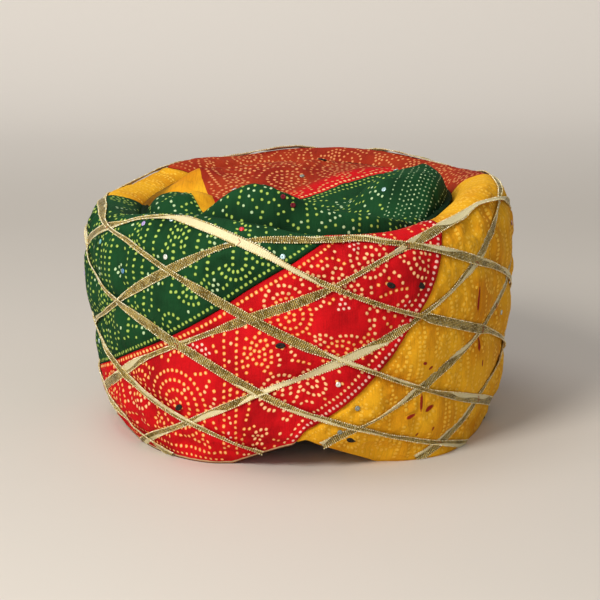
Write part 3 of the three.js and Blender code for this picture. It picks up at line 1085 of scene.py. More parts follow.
# Dark-red brush marks on the yellow: angle, height share, half length, half width, turn.
yellowMarks = [
    (53.0, 0.645, 8.0, 1.3, 84), (41.0, 0.785, 5.5, 1.1, 75), (38.8, 0.83, 1.3, 0.9, 60),
    (34.2, 0.265, 6.0, 1.4, 88), (31.0, 0.213, 4.0, 1.6, 12), (37.2, 0.228, 4.0, 1.4, 22),
    (34.0, 0.44, 1.8, 1.1, -20), (36.2, 0.412, 1.8, 1.0, 30), (55.0, 0.44, 4.6, 1.2, 84),
    (57.0, 0.35, 2.4, 0.9, 100), (38.5, 0.136, 1.5, 0.8, 60), (34.0, 0.118, 1.5, 0.8, 55),
    (36.5, 0.025, 1.6, 0.6, 70), (40.0, 0.03, 1.2, 0.5, 75), (66.0, 0.55, 3.0, 0.5, 85),
    (72.0, 0.30, 2.6, 0.5, 95), (80.0, 0.72, 2.2, 0.5, 70), (88.0, 0.42, 3.0, 0.5, 85),
    (60.0, 0.12, 1.6, 0.5, 80), (96.0, 0.2, 2.4, 0.5, 85), (195.0, 0.35, 3.0, 0.55, 80),
    (205.0, 0.6, 2.0, 0.55, 100), (215.0, 0.75, 2.6, 0.5, 85), (182.0, 0.15, 2.2, 0.6, 70),
]


def printYellow(sheet, index):
    for angle, share, long, half, turn in yellowMarks:
        sheet.place(*spot(angle, share), math.radians(turn), half, "wine", long, 1.0)
    x, end, _, _ = turnBox(index)
    rng = np.random.default_rng(71 + index)
    sheet.row(besideEdge(index, 3.0), 2.6, 0.7, "straw")
    kinds = [("garland", (5, 8, 11), "straw"), ("rings", (3, 6), "straw")]
    drawFigures(sheet, scatterFigures(index, 30, 26, kinds, 91 + index), 2.6, 1.05, 1.2)
    while x < end:
        bend = rng.uniform(-3, 3)
        line = [(x + bend * math.sin(up / 30) + rng.uniform(-0.4, 0.4), up)
                for up in np.linspace(2, crestUp + 20, 60)]
        sheet.row(line, 2.5, rng.uniform(0.8, 1.15), "straw", tall=1.25, room=2.3)
        x += rng.uniform(4.0, 9.5)


prints = {"red": printRed, "faded": printRed, "yellow": printYellow, "green": printGreen}
for index, look in enumerate(turnPieces):
    sheet = DotSheet(insideTurn(index))
    prints[look["cotton"]](sheet, index)
    makeTurn(index, sheet.dots)


# The crown cloth, gathered over the head and tucked down inside the wall. Each fold has its
# middle right and back, its reach along and across, its turn, its rise and how far its top
# leans right and back, all in mm and degrees. A firm fold has a flat top and steep sides.
crownFolds = [
    {"at": (-28, -80), "reach": (24, 11.5), "turn": 2, "rise": 24, "lean": (0, -7), "firm": 1},
    {"at": (36, -80), "reach": (36, 8.5), "turn": 5, "rise": 14, "lean": (0, -6), "firm": 1},
    {"at": (63, -12), "reach": (27, 22), "turn": 24, "rise": 20, "lean": (5, 0), "firm": 2.4},
    {"at": (-68, -14), "reach": (22, 15), "turn": 10, "rise": 11, "lean": (-3, -2), "firm": 1.8},
    {"at": (-60, 46), "reach": (26, 12), "turn": -50, "rise": 7, "lean": (0, 0), "firm": 1},
    {"at": (4, -52), "reach": (30, 7), "turn": -6, "rise": 3.5, "lean": (0, 0), "firm": 1},
    {"at": (42, 34), "reach": (34, 17), "turn": 32, "rise": 8, "lean": (0, 0), "firm": 1},
    {"at": (-6, 60), "reach": (52, 22), "turn": 0, "rise": 8, "lean": (0, 0), "firm": 1},
    {"at": (-14, 62), "reach": (9, 34), "turn": -24, "rise": 3.2, "lean": (0, 0), "firm": 1},
    {"at": (8, 66), "reach": (7, 30), "turn": -30, "rise": 2.6, "lean": (0, 0), "firm": 1},
]
crownLook = {
    "step": 1.9,  # mm between points
    "tuckLong": 16,
    "rimDip": 6.0,  # mm that the cloth sinks just before the wall
    "dipAt": 0.945,
    "dipReach": 0.04,
    "wrinkle": 0.5,
    "wrinkleLength": 15,
    "star": (50, -52, 14, 2.0),  # where small pleats meet: right, back, reach, depth
    "pleats": 7,
    "size": (86, 101),  # mm, half the width and half the depth that are printed
}


def crownLip(angle):
    lip = around("lip", angle)
    return lip, onOval(angle, innerOut(angle, lip) - crown["seat"], lip * rimHeight(angle))


def crownPoint(angle, share):
    lip, edge = crownLip(angle)
    x, y = edge[..., 0] * np.minimum(share, 1), edge[..., 1] * np.minimum(share, 1)
    z = mix(wall["bandHeight"] - crown["sink"], edge[..., 2], share ** 2)
    faded = np.sqrt(np.maximum(0, 1 - smooth(crown["foldFade"], 1, share)))
    moveX, moveY, rise = 0, 0, 0
    for fold in crownFolds:
        a = math.radians(fold["turn"])
        dx, dy = x - fold["at"][0], y - fold["at"][1]
        u = (dx * math.cos(a) + dy * math.sin(a)) / fold["reach"][0]
        v = (dy * math.cos(a) - dx * math.sin(a)) / fold["reach"][1]
        part = np.exp(-(u * u + v * v) ** fold["firm"] / 2)
        rise = rise + fold["rise"] * part
        moveX, moveY = moveX + fold["lean"][0] * part, moveY + fold["lean"][1] * part
    front = smooth(20, -40, y)
    rise = rise * faded
    rise = rise - crownLook["rimDip"] * np.exp(
        -((share - crownLook["dipAt"]) / crownLook["dipReach"]) ** 2) * (0.1 + 0.9 * front)
    wrinkle = softNoise(x, y * 1.5, crownLook["wrinkleLength"], 21)
    rise = rise + crownLook["wrinkle"] * wrinkle * (1 - smooth(0.86, 0.98, share))
    starX, starY, reach, depth = crownLook["star"]
    pull = np.hypot(x - starX, y - starY) / reach
    pleats = np.cos(crownLook["pleats"] * np.arctan2(y - starY, x - starX) + 0.8)
    rise = rise + depth * pleats * pull * np.exp(-pull ** 2 * 1.2) * faded
    top = np.stack([x + moveX * faded, y + moveY * faded, z + rise], -1)
    height = lip * mix(1, crown["tuckEnd"], np.maximum(0, share - 1))
    tuck = onOval(angle, innerOut(angle, height) - crown["seat"], height * rimHeight(angle))
    return np.where((share <= 1)[..., None], top, tuck)


lipAngles = np.arange(0, 360.5, 0.5)
_, lipPoints = crownLip(lipAngles)
lipToward = np.unwrap(np.arctan2(lipPoints[:, 1], lipPoints[:, 0]))
lipRadius = np.hypot(lipPoints[:, 0], lipPoints[:, 1])


# A flat place of the crown cloth as an angle and a share of the way to the lip. Past the lip
# the flat cloth runs on outwards, where the worn one is tucked down.
def crownPlace(flat):
    toward = np.mod(np.arctan2(flat[:, 1], flat[:, 0]) - lipToward[0], 2 * math.pi) + lipToward[0]
    angle = np.interp(toward, lipToward, lipAngles)
    radius = np.interp(angle, lipAngles, lipRadius)
    reach = np.hypot(flat[:, 0], flat[:, 1])
    past = np.maximum(0, reach - radius) / crownLook["tuckLong"]
    return angle, np.clip(np.where(reach <= radius, reach / radius, 1 + past), 0, 2)


# Where the dyes meet: red lies behind the first line, yellow left of the second.
redBorder = [(-95, 12), (-72, 6), (-62, 0), (-56, -18), (-50, -36), (-40, -30), (-20, -14), (0, 0),
             (25, 20), (45, 34), (60, 40), (75, 36), (92, 26)]
yellowBorder = [(-45, -40), (-30, -43), (5, -49), (38, -56), (60, -60), (71, -62), (100, -70)]


def onLine(border, at):
    return np.interp(at, *np.array(border, float).T)


def redPast(x, y):
    slant = 0.85  # the border slants, so a distance across it is this much shorter
    return (y - onLine(redBorder, x)) * slant


def yellowPast(x, y):
    return onLine(yellowBorder, y) - x


def insideCrown(across, up, margin):
    if abs(redPast(across, up)) < margin:
        return False
    if redPast(across, up) > 0 and abs(yellowPast(across, up)) < margin:
        return False
    wide, deep = crownLook["size"]
    return (across / (wide - margin)) ** 2 + (up / (deep - margin)) ** 2 < 1


# The crown's worn shape over a flat grid, with how far its wrinkles move it.
crownSpan = {
    "x": 104,
    "y": 120,
    "step": 2.0,
    "pressure": 0.1,
    "growth": 0.04,
    "hold": 0.955,  # share of the way to the lip from which on the wall holds the cloth
    "end": 1.15,
    "even": 5,  # steps either side that are averaged
    "most": 0.9,  # mm that a wrinkle may move the cloth
}


def makeCrownGrid():
    xs = np.arange(-crownSpan["x"], crownSpan["x"] + 1, crownSpan["step"])
    ys = np.arange(-crownSpan["y"], crownSpan["y"] + 1, crownSpan["step"])
    flat = np.stack(np.meshgrid(xs, ys, indexing="ij"), -1)
    angle, share = crownPlace(flat.reshape(-1, 2))
    points = crownPoint(angle, share)
    shift = np.zeros_like(points)
    inside = share < crownSpan["end"]
    number = np.cumsum(inside) - 1
    rows = len(ys)
    corners = [(i * rows + j, (i + 1) * rows + j, (i + 1) * rows + j + 1, i * rows + j + 1)
               for i in range(len(xs) - 1) for j in range(rows - 1)]
    faces = [[int(number[k]) for k in face] for face in corners if inside[list(face)].all()]
    held = share[inside] > crownSpan["hold"]
    shift[inside] = swell(points[inside], faces, held, crownSpan["pressure"],
                          crownSpan["growth"])
    shift = shift.reshape(*flat.shape[:2], 3)
    # Only the wrinkles are kept, not the rise of the sheet as a whole.
    broad = shift
    for axis in (0, 1):
        steps = range(-crownSpan["even"], crownSpan["even"] + 1)
        broad = sum(np.roll(broad, step, axis) for step in steps) / len(steps)
    shift = (shift - broad).reshape(-1, 3) * smooth(1.0, 0.93, share)[:, None]
    far = np.linalg.norm(shift, axis=1, keepdims=True) + 1e-6
    shift *= np.tanh(far / crownSpan["most"]) * crownSpan["most"] / far
    return points.reshape(*flat.shape[:2], 3), shift.reshape(*flat.shape[:2], 3)


crownGrid, crownShift = makeCrownGrid()
crownWorn = crownGrid + crownShift
crownTilt = np.gradient(crownWorn, crownSpan["step"], axis=(0, 1))


def onCrownGrid(grid, flat):
    x = (flat[:, 0] + crownSpan["x"]) / crownSpan["step"]
    y = (flat[:, 1] + crownSpan["y"]) / crownSpan["step"]
    return readGrid(grid, x, y, False)


def crownAt(flat):
    return crownPoint(*crownPlace(flat)) + onCrownGrid(crownShift, flat)


# A sheet whose dots keep round and evenly spaced on the worn shape of the crown.
class WornSheet(DotSheet):
    def measure(self, line):
        return lengthAlong(onCrownGrid(crownWorn, line))

    def fit(self, across, up, turn, long, half):
        i = int(round((across + crownSpan["x"]) / crownSpan["step"]))
        j = int(round((up + crownSpan["y"]) / crownSpan["step"]))
        alongX, alongY = crownTilt[0][i, j], crownTilt[1][i, j]
        spread = np.array([[alongX @ alongX, alongX @ alongY], [alongX @ alongY, alongY @ alongY]])
        sizes, ways = np.linalg.eigh(spread)
        sizes = np.sqrt(np.maximum(sizes, 0.5))
        point = crownWorn[i, j] + alongX * (across + crownSpan["x"] - i * crownSpan["step"])
        point = point + alongY * (up + crownSpan["y"] - j * crownSpan["step"])
        return tuple(point), math.atan2(ways[1, 0], ways[0, 0]), long / sizes[0], half / sizes[1]


def printCrown(sheet):
    x = np.linspace(-84, 88, 160)
    line = onLine(redBorder, x)
    sheet.row(np.stack([x[50:], line[50:] + 3.2], -1), 3.2, 1.15, "peach")
    sheet.row(np.stack([x, line - 3.0], -1), 3.1, 1.0, "lime")
    sheet.row(np.stack([x[40:], line[40:] - 7.5], -1), 3.1, 0.9, "lime")
    # The fine rows on the right-hand fold.
    rng = np.random.default_rng(40)
    for number in range(16):
        across, sway = 47 + number * 2.6 + rng.uniform(-0.5, 0.5), rng.uniform(6, 8)
        bend = [(across + sway * math.sin((up + 40) / 30) + rng.uniform(-0.25, 0.25), up)
                for up in np.linspace(-50, 30, 50)]
        sheet.row(bend, rng.uniform(2.5, 3.1), 0.6, "mint" if number % 4 == 1 else "sage", room=2.2)
    # Columns of dots come down the front fold, with figures between them.
    for number in range(13):
        across, bend = -74 + number * 11.5 + rng.uniform(-2, 2), rng.uniform(-11, 11)
        start, end = rng.uniform(-44, -26), rng.uniform(-94, -72)
        column = [(across + bend * math.sin(t * 2.6), mix(start, end, t)) for t in
                  np.linspace(0, 1, 40)]
        sheet.row(column, 3.4, 1.0, "lime")
    for number in range(30):
        x0 = -76 + (number % 10) * 15 + rng.uniform(-5, 5)
        y0 = -86 + (number // 10) * 24 + rng.uniform(-6, 6)
        if number % 3:
            for radius in (5.5, 9.5):
                sheet.row(circle(x0, y0, radius, 200, 340), 3.2, 1.0, "lime")
        else:
            wedge(sheet, x0, y0, rng.uniform(-40, 40), "mint", 3.2, 0.9)
    for number in range(20):
        x0, y0 = -62 + (number % 5) * 29 + rng.uniform(-4, 4), 14 + (number // 5) * 21
        for size in (3, 7, 11):
            shape = circle(x0, y0, size) if number % 2 else mango(x0, y0, size, 40)
            sheet.row(shape, 3.2, 1.15, "washed", True)
    for number in range(4):
        stripe = [(-34 + number * 6 - up * 0.42, up) for up in np.linspace(4, 92, 40)]
        sheet.row(stripe, 2.9, 1.15, "washed", room=2.8)
    tendrils(sheet, (-84, 84, 0, 98), 1200, 66, 3.2, 1.1, ["washed", "washed", "rust"], 3.1)
    tendrils(sheet, (-84, 84, -98, 40), 1700, 67, 3.1, 0.95, ["lime", "lime", "mint"], 3.0)


# Keeps the green dots on green and the red ones on red, and leaves the yellow plain.
def dyeOf(dots):
    greens = [dotTints[name] for name in ("lime", "mint", "sage")]
    kept = []
    for dot in dots:
        red, yellow = redPast(*dot[:2]) > 0, yellowPast(*dot[:2]) > 0
        if (dot[5] in greens) != red and not (red and yellow):
            kept.append(dot)
    return kept


def makeCrown(dots):
    step, thick = crownLook["step"], crown["thickness"]
    rimAngles = np.arange(0, 360, 0.9)
    _, edge = crownLip(rimAngles)
    away = np.arctan2(edge[:, 1], edge[:, 0])
    reach = np.hypot(edge[:, 0], edge[:, 1]) + crownLook["tuckLong"]
    outline = np.stack([reach * np.cos(away), reach * np.sin(away)], -1)
    ring, rowStep = crownSpan["y"], step * 0.866
    filler = np.array([(-ring + i * step + (row % 2) * step / 2, -ring + row * rowStep)
                       for row in range(int(2 * ring / rowStep))
                       for i in range(int(2 * ring / step))])
    filler = filler[crownPlace(filler)[1] < 1.9]
    flat, triangles, made, ownerOf = cutFlat(outline, filler, dots)
    upper = crownAt(flat)
    corner = np.array(triangles)
    facet = np.cross(upper[corner[:, 1]] - upper[corner[:, 0]],
                     upper[corner[:, 2]] - upper[corner[:, 0]])
    normal = np.zeros_like(upper)
    for i in range(3):
        np.add.at(normal, corner[:, i], facet)
    normal /= np.linalg.norm(normal, axis=1, keepdims=True)
    count = len(upper)
    faces = triangles + [[i + count for i in t[::-1]] for t in triangles]
    rim = [made[i] for i in range(len(outline))]
    for a, b in zip(rim, rim[1:] + rim[:1]):
        faces.append([b, a, a + count, b + count])
    points = np.concatenate([upper, upper - normal * thick])
    smoothFaces = np.arange(len(faces)) < 2 * len(triangles)
    piece = newPiece("crownCloth", points * mm, faces, cottonOf["crown"], smoothFaces)
    mesh = piece.data
    printDots(mesh, triangles, flat, dots, ownerOf)
    both = np.concatenate([flat, flat])
    # Painted shade for the crease by the wall: none where the cloth lies open, rising over its dip
    # by the wall and full where it tucks down inside.
    paintedCreaseShade = smooth(0.87, 0.97, crownPlace(both)[1])
    addField(mesh, "dyeLinesAndPaintedShade", np.stack([redPast(*both.T), yellowPast(*both.T), paintedCreaseShade], -1))
    addUv(mesh, "weaveUv", both)
    low, size = flat.min(0), np.ptp(flat, axis=0).max()
    packed = np.concatenate([(flat - low) / size, (flat - low) / size + [1.02, 0]])
    addUv(mesh, "OFBake", packed * 0.485 + 0.005)
    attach(piece, "root")
    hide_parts("crown_cloth")
    print("crownCloth", len(faces), "faces,", len(dots), "dots")


crownSheet = WornSheet(insideCrown)
printCrown(crownSheet)
makeCrown(dyeOf(crownSheet.dots))


# The ribbons: woven gold on the face and plain cream on the back. Each one twists a little on
# its way, so that it narrows and shows some of its back.
ribbonLook = {
    "step": 0.75,  # degrees between rows
    "wide": 4.9,
    "narrow": 2.3,
    "thick": 0.4,
    "seat": 0.3,
    "hump": 0.7,  # mm by which the falling half rides over the rising one
    "change": 12,  # degrees either side of its peak over which it rises to do so
    "foot": 0.2,
    "overBack": [4, 5],  # these two run higher over the back of the rim
    "over": 0.011,
    "overReach": (4, 16),  # degrees: the middle and the reach of that
    "roll": 30,  # degrees that a twist turns the ribbon on its edge
    "sides": [-1, -0.8, -0.55, 0, 0.55, 0.8, 1],
    "tops": [0.35, 1.0, 0.8, 0.75, 0.8, 1.0, 0.35],
    "weave": (2.1, 1.3),  # mm of a weave's cell along a ribbon, and how steep its lines are
    "off": 0.4,  # mm that a ribbon's edges stay above the ground
}


def goldMaterial():
    material, board = newMaterial("goldGota")
    uv = board.node("ShaderNodeUVMap", {"uv_map": "ribbonUv"})
    along, across, _ = board.split(uv)
    back = board.field("backShown")
    cell, steep = 2 * math.pi / ribbonLook["weave"][0], ribbonLook["weave"][1]
    slant = ((along + across * steep) * cell).math("SINE")
    counter = ((along - across * steep) * cell).math("SINE")
    mesh = slant * counter
    fray = board.noise(uv, 0.9, 3)
    # Painted light: slow patches from dark bronze to bright gold stand in for glare and shade along
    # a ribbon, and small pale spots are painted glints.
    wearAndPaintedLight = board.ease(board.noise(uv, 0.12, 3), 0.36, 0.62)
    paintedGlint = board.ease(board.noise(uv, 0.85, 2, 0.7), 0.52, 0.60)
    gold = board.blend(wearAndPaintedLight, rgba(0.30, 0.19, 0.022), rgba(0.80, 0.58, 0.15))
    gold = board.blend(paintedGlint * 0.85, gold, rgba(1.0, 0.92, 0.52))
    gaps = board.ease(mesh, 0.15, -0.35)
    gold = board.blend(gaps * 0.92, gold, rgba(0.045, 0.028, 0.003))
    cream = board.blend(fray, rgba(0.80, 0.72, 0.44), rgba(0.62, 0.53, 0.26))
    plain = board.ease(back + (fray - 0.5) * 0.25, 0.46, 0.54)
    board.surface({"Base Color": board.blend(plain, gold, cream),
                   "Metallic": 0.65 - plain * 0.55,
                   "Roughness": 0.34 + plain * 0.12},
                  mesh * 0.8 * (1 - plain * 0.8) + fray * 0.5, 1.0, 0.0004)
    return material


# Slow changes along a ribbon, from -1 to 1.
def drift(long, length, seed):
    rng = np.random.default_rng(seed)
    total = 0
    for _ in range(5):
        pace = 2 * math.pi / (length * rng.uniform(0.6, 1.7))
        total = total + np.sin(long * pace + rng.uniform(0, 2 * math.pi))
    return np.clip(total / 2.6, -1, 1)


# The middle line of a ribbon with the ways across and out of it, its width and its twist.
def ribbonCourse(index):
    look = ribbonLook
    away = np.arange(ribbonAway[0], ribbonAway[-1] + 0.01, look["step"])
    angle, height = ribbonPlace(index, away)
    if index in look["overBack"]:
        at, reach = look["overReach"]
        height = height + look["over"] * np.exp(-((away - at) / reach) ** 2)
    middle = surfacePoint(outerOut, angle, height)
    keep = middle[:, 2] > hemLift(angle) + look["foot"]
    away, angle, height, middle = away[keep], angle[keep], height[keep], middle[keep]
    normal = surfaceNormal(outerOut, angle, height)
    ahead = np.gradient(middle, axis=0)
    ahead /= np.linalg.norm(ahead, axis=1, keepdims=True)
    across = np.cross(normal, ahead)
    long = lengthAlong(middle)
    spread = smooth(-0.55, 0.5, drift(long, 120, 200 + index))
    width = mix(look["narrow"], look["wide"], spread)
    roll = np.radians(look["roll"]) * drift(long, 90, 300 + index) * (1.15 - spread)
    foot = hemLift(angle) / rimHeight(angle)
    share = (height - foot) / (1 - foot)
    relief = wallRelief(angle, upOfPart(np.clip(share, 0, 1)))
    low = look["seat"] + relief + look["hump"] * smooth(-look["change"], look["change"], away)
    low = low + np.abs(np.sin(roll)) * width * 0.42
    face = shownFace(index, away, long)
    middle = middle + normal * low[:, None]
    middle[:, 2] = np.maximum(middle[:, 2], 0.3)
    return {"away": away, "middle": middle, "across": across, "out": normal, "width": width,
            "roll": roll, "long": long, "face": face, "creamSide": 1 if index % 3 else -1}


# Where a ribbon surely shows its cream back or its gold face: ribbon, start, end and side.
shownRuns = [
    (0, 2, 46, 1), (0, 52, 120, -1), (1, -60, -8, -1), (2, -75, -30, -1), (3, -110, -75, 1),
    (7, 10, 80, -1), (6, 60, 110, -1), (2, -8, 22, 1),
]


def shownFace(index, away, long):
    face = drift(long, 60, 400 + index) * 0.8
    for ribbon, start, end, side in shownRuns:
        if ribbon == index:
            inRun = smooth(start - 5, start + 5, away) * (1 - smooth(end - 5, end + 5, away))
            face = mix(face, side, inRun)
    return face


def ribbonPoints(course, side, rise):
    c, s = np.cos(course["roll"])[:, None], np.sin(course["roll"])[:, None]
    across = course["across"] * c + course["out"] * s
    out = course["out"] * c - course["across"] * s
    half = course["width"][:, None] / 2
    points = course["middle"] + across * half * side + out * rise
    points[:, 2] = np.maximum(points[:, 2], ribbonLook["off"])
    return points


gold = goldMaterial()


def makeRibbon(index, course):
    look = ribbonLook
    profile = [(side, top * look["thick"]) for side, top in zip(look["sides"], look["tops"])]
    profile += [(1, -0.1), (0, 0), (-1, -0.1)]
    rows, size = len(course["away"]), len(profile)
    points = np.stack([ribbonPoints(course, *corner) for corner in profile], 1).reshape(-1, 3)
    faces = []
    for row in range(rows - 1):
        for i in range(size):
            j, here, after = (i + 1) % size, row * size, (row + 1) * size
            faces.append([here + i, after + i, after + j, here + j])
    faces.append(list(range(size)))
    faces.append([(rows - 1) * size + i for i in range(size)][::-1])
    smoothFaces = np.arange(len(faces)) < len(faces) - 2
    piece = newPiece(f"goldRibbon{index + 1}", points * mm, faces, gold, smoothFaces)
    sides = np.array([side for side, _ in profile])
    width = course["width"][:, None]
    uv = np.stack([np.repeat(course["long"][:, None], size, 1), sides * width / 2], -1)
    addUv(piece.data, "ribbonUv", uv.reshape(-1, 2))
    # Above one half, the cream back shows: on one side of a ribbon that is folded lengthwise.
    back = 0.5 + 0.9 * (sides * course["creamSide"] + 1.35 * course["face"][:, None] - 0.55)
    addField(piece.data, "backShown", back.ravel(), "FLOAT")
    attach(piece, "root")
    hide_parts(f"ribbon_{index + 1}")


# Points with an outward way each, joined up in lines where edges are given.
def pointCloud(name, points, outs, edges=(), fields=()):
    mesh = bpy.data.meshes.new(name)
    mesh.from_pydata((np.asarray(points) * mm).tolist(), list(edges), [])
    addField(mesh, "out", outs)
    for field, values, kind in fields:
        addField(mesh, field, values, kind)
    cloud = bpy.data.objects.new(name, mesh)
    bpy.context.scene.collection.objects.link(cloud)
    return cloud


# A Geometry Nodes tree with named inputs, and its board.
def newTree(name, inputs):
    tree = bpy.data.node_groups.new(name, "GeometryNodeTree")
    tree.interface.new_socket("Geometry", in_out="INPUT", socket_type="NodeSocketGeometry")
    for label, kind in inputs:
        tree.interface.new_socket(label, in_out="INPUT", socket_type="NodeSocket" + kind)
    tree.interface.new_socket("Geometry", in_out="OUTPUT", socket_type="NodeSocketGeometry")
    board = Board(tree)
    board.node("NodeGroupInput")
    given = {socket.name: Value(board, socket) for socket in board.last.outputs if socket.name}
    return tree, board, given


def endTree(board, instances, material):
    whole = board.node("GeometryNodeRealizeInstances", values={0: instances})
    whole = board.node("GeometryNodeSetShadeSmooth", values={"Geometry": whole})
    whole = board.node("GeometryNodeSetMaterial", values={"Geometry": whole, "Material": material})
    board.node("NodeGroupOutput", values={"Geometry": whole})


# Runs a tree on an object and keeps the result as a plain mesh.
def applyTree(cloud, tree, values, name):
    modifier = cloud.modifiers.new(tree.name, "NODES")
    modifier.node_group = tree
    for item in tree.interface.items_tree:
        if item.in_out == "INPUT" and item.name in values:
            modifier[item.identifier] = values[item.name]
    seen = cloud.evaluated_get(bpy.context.evaluated_depsgraph_get())
    mesh = bpy.data.meshes.new_from_object(seen)
    cloud.modifiers.remove(modifier)
    piece = bpy.data.objects.new(name, mesh)
    bpy.context.scene.collection.objects.link(piece)
    bpy.data.objects.remove(cloud)
    return piece


# Turns a shape so that its Z looks out of the cloth.
def facing(board, axis="Z", start=None, vector="out"):
    out = board.node("GeometryNodeInputNamedAttribute", {"data_type": "FLOAT_VECTOR"},
                     {"Name": vector})
    values = {"Vector": out}
    if start is not None:
        values["Rotation"] = start
    return board.node("FunctionNodeAlignRotationToVector", {"axis": axis}, values)


# The bright picots along both edges of a ribbon.
picotLook = {"pitch": 1.35, "size": 0.40, "stretch": (1.6, 1.0, 1.0)}


def picotTree(material):
    tree, board, given = newTree("layPicots", [("Pitch", "Float"), ("Size", "Float")])
    line = board.node("GeometryNodeMeshToCurve", values={"Mesh": given["Geometry"]})
    line = board.node("GeometryNodeResampleCurve", {"mode": "LENGTH"},
                      {"Curve": line, "Length": given["Pitch"]})
    bead = board.node("GeometryNodeMeshUVSphere", values={"Segments": 5, "Rings": 3,
                                                         "Radius": given["Size"]})
    tangent = board.node("GeometryNodeInputTangent")
    aim = board.node("FunctionNodeAlignRotationToVector", {"axis": "X"}, {"Vector": tangent})
    turned = board.node("FunctionNodeRotateRotation", {"rotation_space": "LOCAL"},
                        {"Rotation": aim, "Rotate By": (0.0, 0.0, 0.6)})
    laid = board.node("GeometryNodeInstanceOnPoints", values={
        "Points": line, "Instance": bead, "Rotation": turned, "Scale": picotLook["stretch"]})
    endTree(board, laid, material)
    return tree


def picotMaterial():
    material, board = newMaterial("brightPicot")
    objectAt = board.node("ShaderNodeTexCoord", out="Object")
    # Painted glints: some beads are painted near white, as if they caught the light.
    paintedSpark = board.ease(board.noise(objectAt, 700, 1), 0.42, 0.62)
    colour = board.blend(paintedSpark, rgba(0.62, 0.46, 0.15), rgba(1.0, 0.94, 0.68))
    board.surface({"Base Color": colour, "Metallic": 0.35, "Roughness": 0.35 - paintedSpark * 0.1})
    return material


picots = picotTree(picotMaterial())
courses = [ribbonCourse(index) for index in range(len(ribbonPeaks))]
for index, course in enumerate(courses):
    makeRibbon(index, course)
    lines = [ribbonPoints(course, side, 0.28) for side in (-1, 1)]
    rows = len(lines[0])
    joins = [(i, i + 1) for i in range(2 * rows - 1) if i != rows - 1]
    outs = np.concatenate([course["out"]] * 2)
    cloud = pointCloud("picotLine", np.concatenate(lines), outs, joins)
    edging = applyTree(cloud, picots, {"Pitch": picotLook["pitch"] * mm,
                                       "Size": picotLook["size"] * mm}, f"ribbonPicots{index + 1}")
    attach(edging, "root")
print("ribbons laid")


# Sequins and tacking stitches, placed by angle and height share.
sequinLook = {
    "radius": 1.4,
    "rim": 1.2,
    "thick": 0.35,
    "off": 0.35,  # mm from the cloth
    "coalSize": (1.9, 1.1, 1),
}
sequins = [
    (-46.5, 0.965, "violet"), (-37.0, 0.985, "ice"), (-30.0, 0.985, "teal"), (-15.5, 0.985, "ruby"),
    (-14.0, 0.94, "ice"), (-51.0, 0.77, "blue"), (-35.5, 0.845, "pearl"), (-19.0, 0.915, "ice"),
    (-4.0, 0.90, "ice"), (-26.5, 0.735, "wine"), (10.0, 0.334, "pearl"), (15.5, 0.235, "steel"),
    (11.0, 0.10, "steel"), (14.5, 0.075, "coal"), (-16.0, 0.37, "coal"), (-4.5, 0.50, "coal"),
    (23.5, 0.80, "coal"), (32.0, 0.78, "coal"), (27.0, 0.935, "coal"), (-33.0, 0.235, "coal"),
    (70, 0.5, "ice"), (84, 0.82, "violet"), (100, 0.3, "pearl"), (118, 0.7, "ruby"),
    (131, 0.45, "ice"), (146, 0.8, "teal"), (158, 0.22, "blue"), (171, 0.62, "pearl"),
    (186, 0.85, "ice"), (199, 0.4, "violet"), (214, 0.66, "steel"), (231, 0.3, "ruby"),
    (243, 0.78, "ice"), (252, 0.5, "blue"), (263, 0.24, "pearl"), (278, 0.68, "violet"),
    (287, 0.4, "ice"), (294, 0.88, "teal"),
]
sequinTints = {
    "violet": rgba(0.55, 0.42, 0.80), "ice": rgba(0.55, 0.78, 0.80), "teal": rgba(0.20, 0.62, 0.58),
    "ruby": rgba(0.75, 0.02, 0.03), "blue": rgba(0.10, 0.28, 0.50), "pearl": rgba(0.82, 0.84, 0.74),
    "wine": rgba(0.16, 0.01, 0.02), "steel": rgba(0.28, 0.32, 0.27),
    "coal": rgba(0.02, 0.018, 0.015),
}
# On the crown: right and back in mm.
crownSequins = [
    (-34, -76, "ice"), (-8, -84, "wine"), (-3, -86, "wine"), (-13, -74, "ice"), (44, -30, "ice"),
    (14, 70, "coal"), (2, 40, "steel"), (50, -2, "ice"),
]


def sequinTree(material):
    tree, board, given = newTree("sewSequins", [("Radius", "Float"), ("Rim", "Float"),
                                                ("Thickness", "Float")])
    ring = board.node("GeometryNodeCurvePrimitiveCircle", {"mode": "RADIUS"},
                      {"Resolution": 16, "Radius": given["Radius"]})
    edge = board.node("GeometryNodeCurvePrimitiveQuadrilateral", {"mode": "RECTANGLE"},
                      {"Width": given["Rim"], "Height": given["Thickness"]})
    disc = board.node("GeometryNodeCurveToMesh", values={"Curve": ring, "Profile Curve": edge})
    size = board.node("GeometryNodeInputNamedAttribute", {"data_type": "FLOAT_VECTOR"},
                      {"Name": "size"})
    laid = board.node("GeometryNodeInstanceOnPoints", values={
        "Points": given["Geometry"], "Instance": disc, "Rotation": facing(board), "Scale": size})
    endTree(board, laid, material)
    return tree


def sequinMaterial():
    material, board = newMaterial("glassSequin")
    tint = board.field("tint", "Color")
    shine = board.ease(tint, 0.03, 0.12)
    board.surface({"Base Color": tint, "Metallic": shine * 0.3, "Roughness": 0.7 - shine * 0.5,
                   "Specular IOR Level": 0.12, "Coat Weight": shine * 0.6})
    return material


def wallSpots(places):
    angle, share = np.array([place[:2] for place in places], float).T
    height = heightAt(angle, share)
    normal = steadyNormal(outerOut, angle, height)
    off = wallRelief(angle, upOfPart(share)) + sequinLook["off"]
    return surfacePoint(outerOut, angle, height) + normal * off[:, None], normal


def crownSpots(places):
    flat = np.array([place[:2] for place in places], float)
    angle, share = crownPlace(flat)
    point = crownAt(flat)
    side = crownPoint(angle + 1, share) - crownPoint(angle, share)
    inward = crownPoint(angle, share - 0.01) - crownPoint(angle, share)
    normal = np.cross(side, inward)
    normal /= np.linalg.norm(normal, axis=1, keepdims=True)
    normal *= np.sign(normal[:, 2:])
    return point + normal * sequinLook["off"], normal


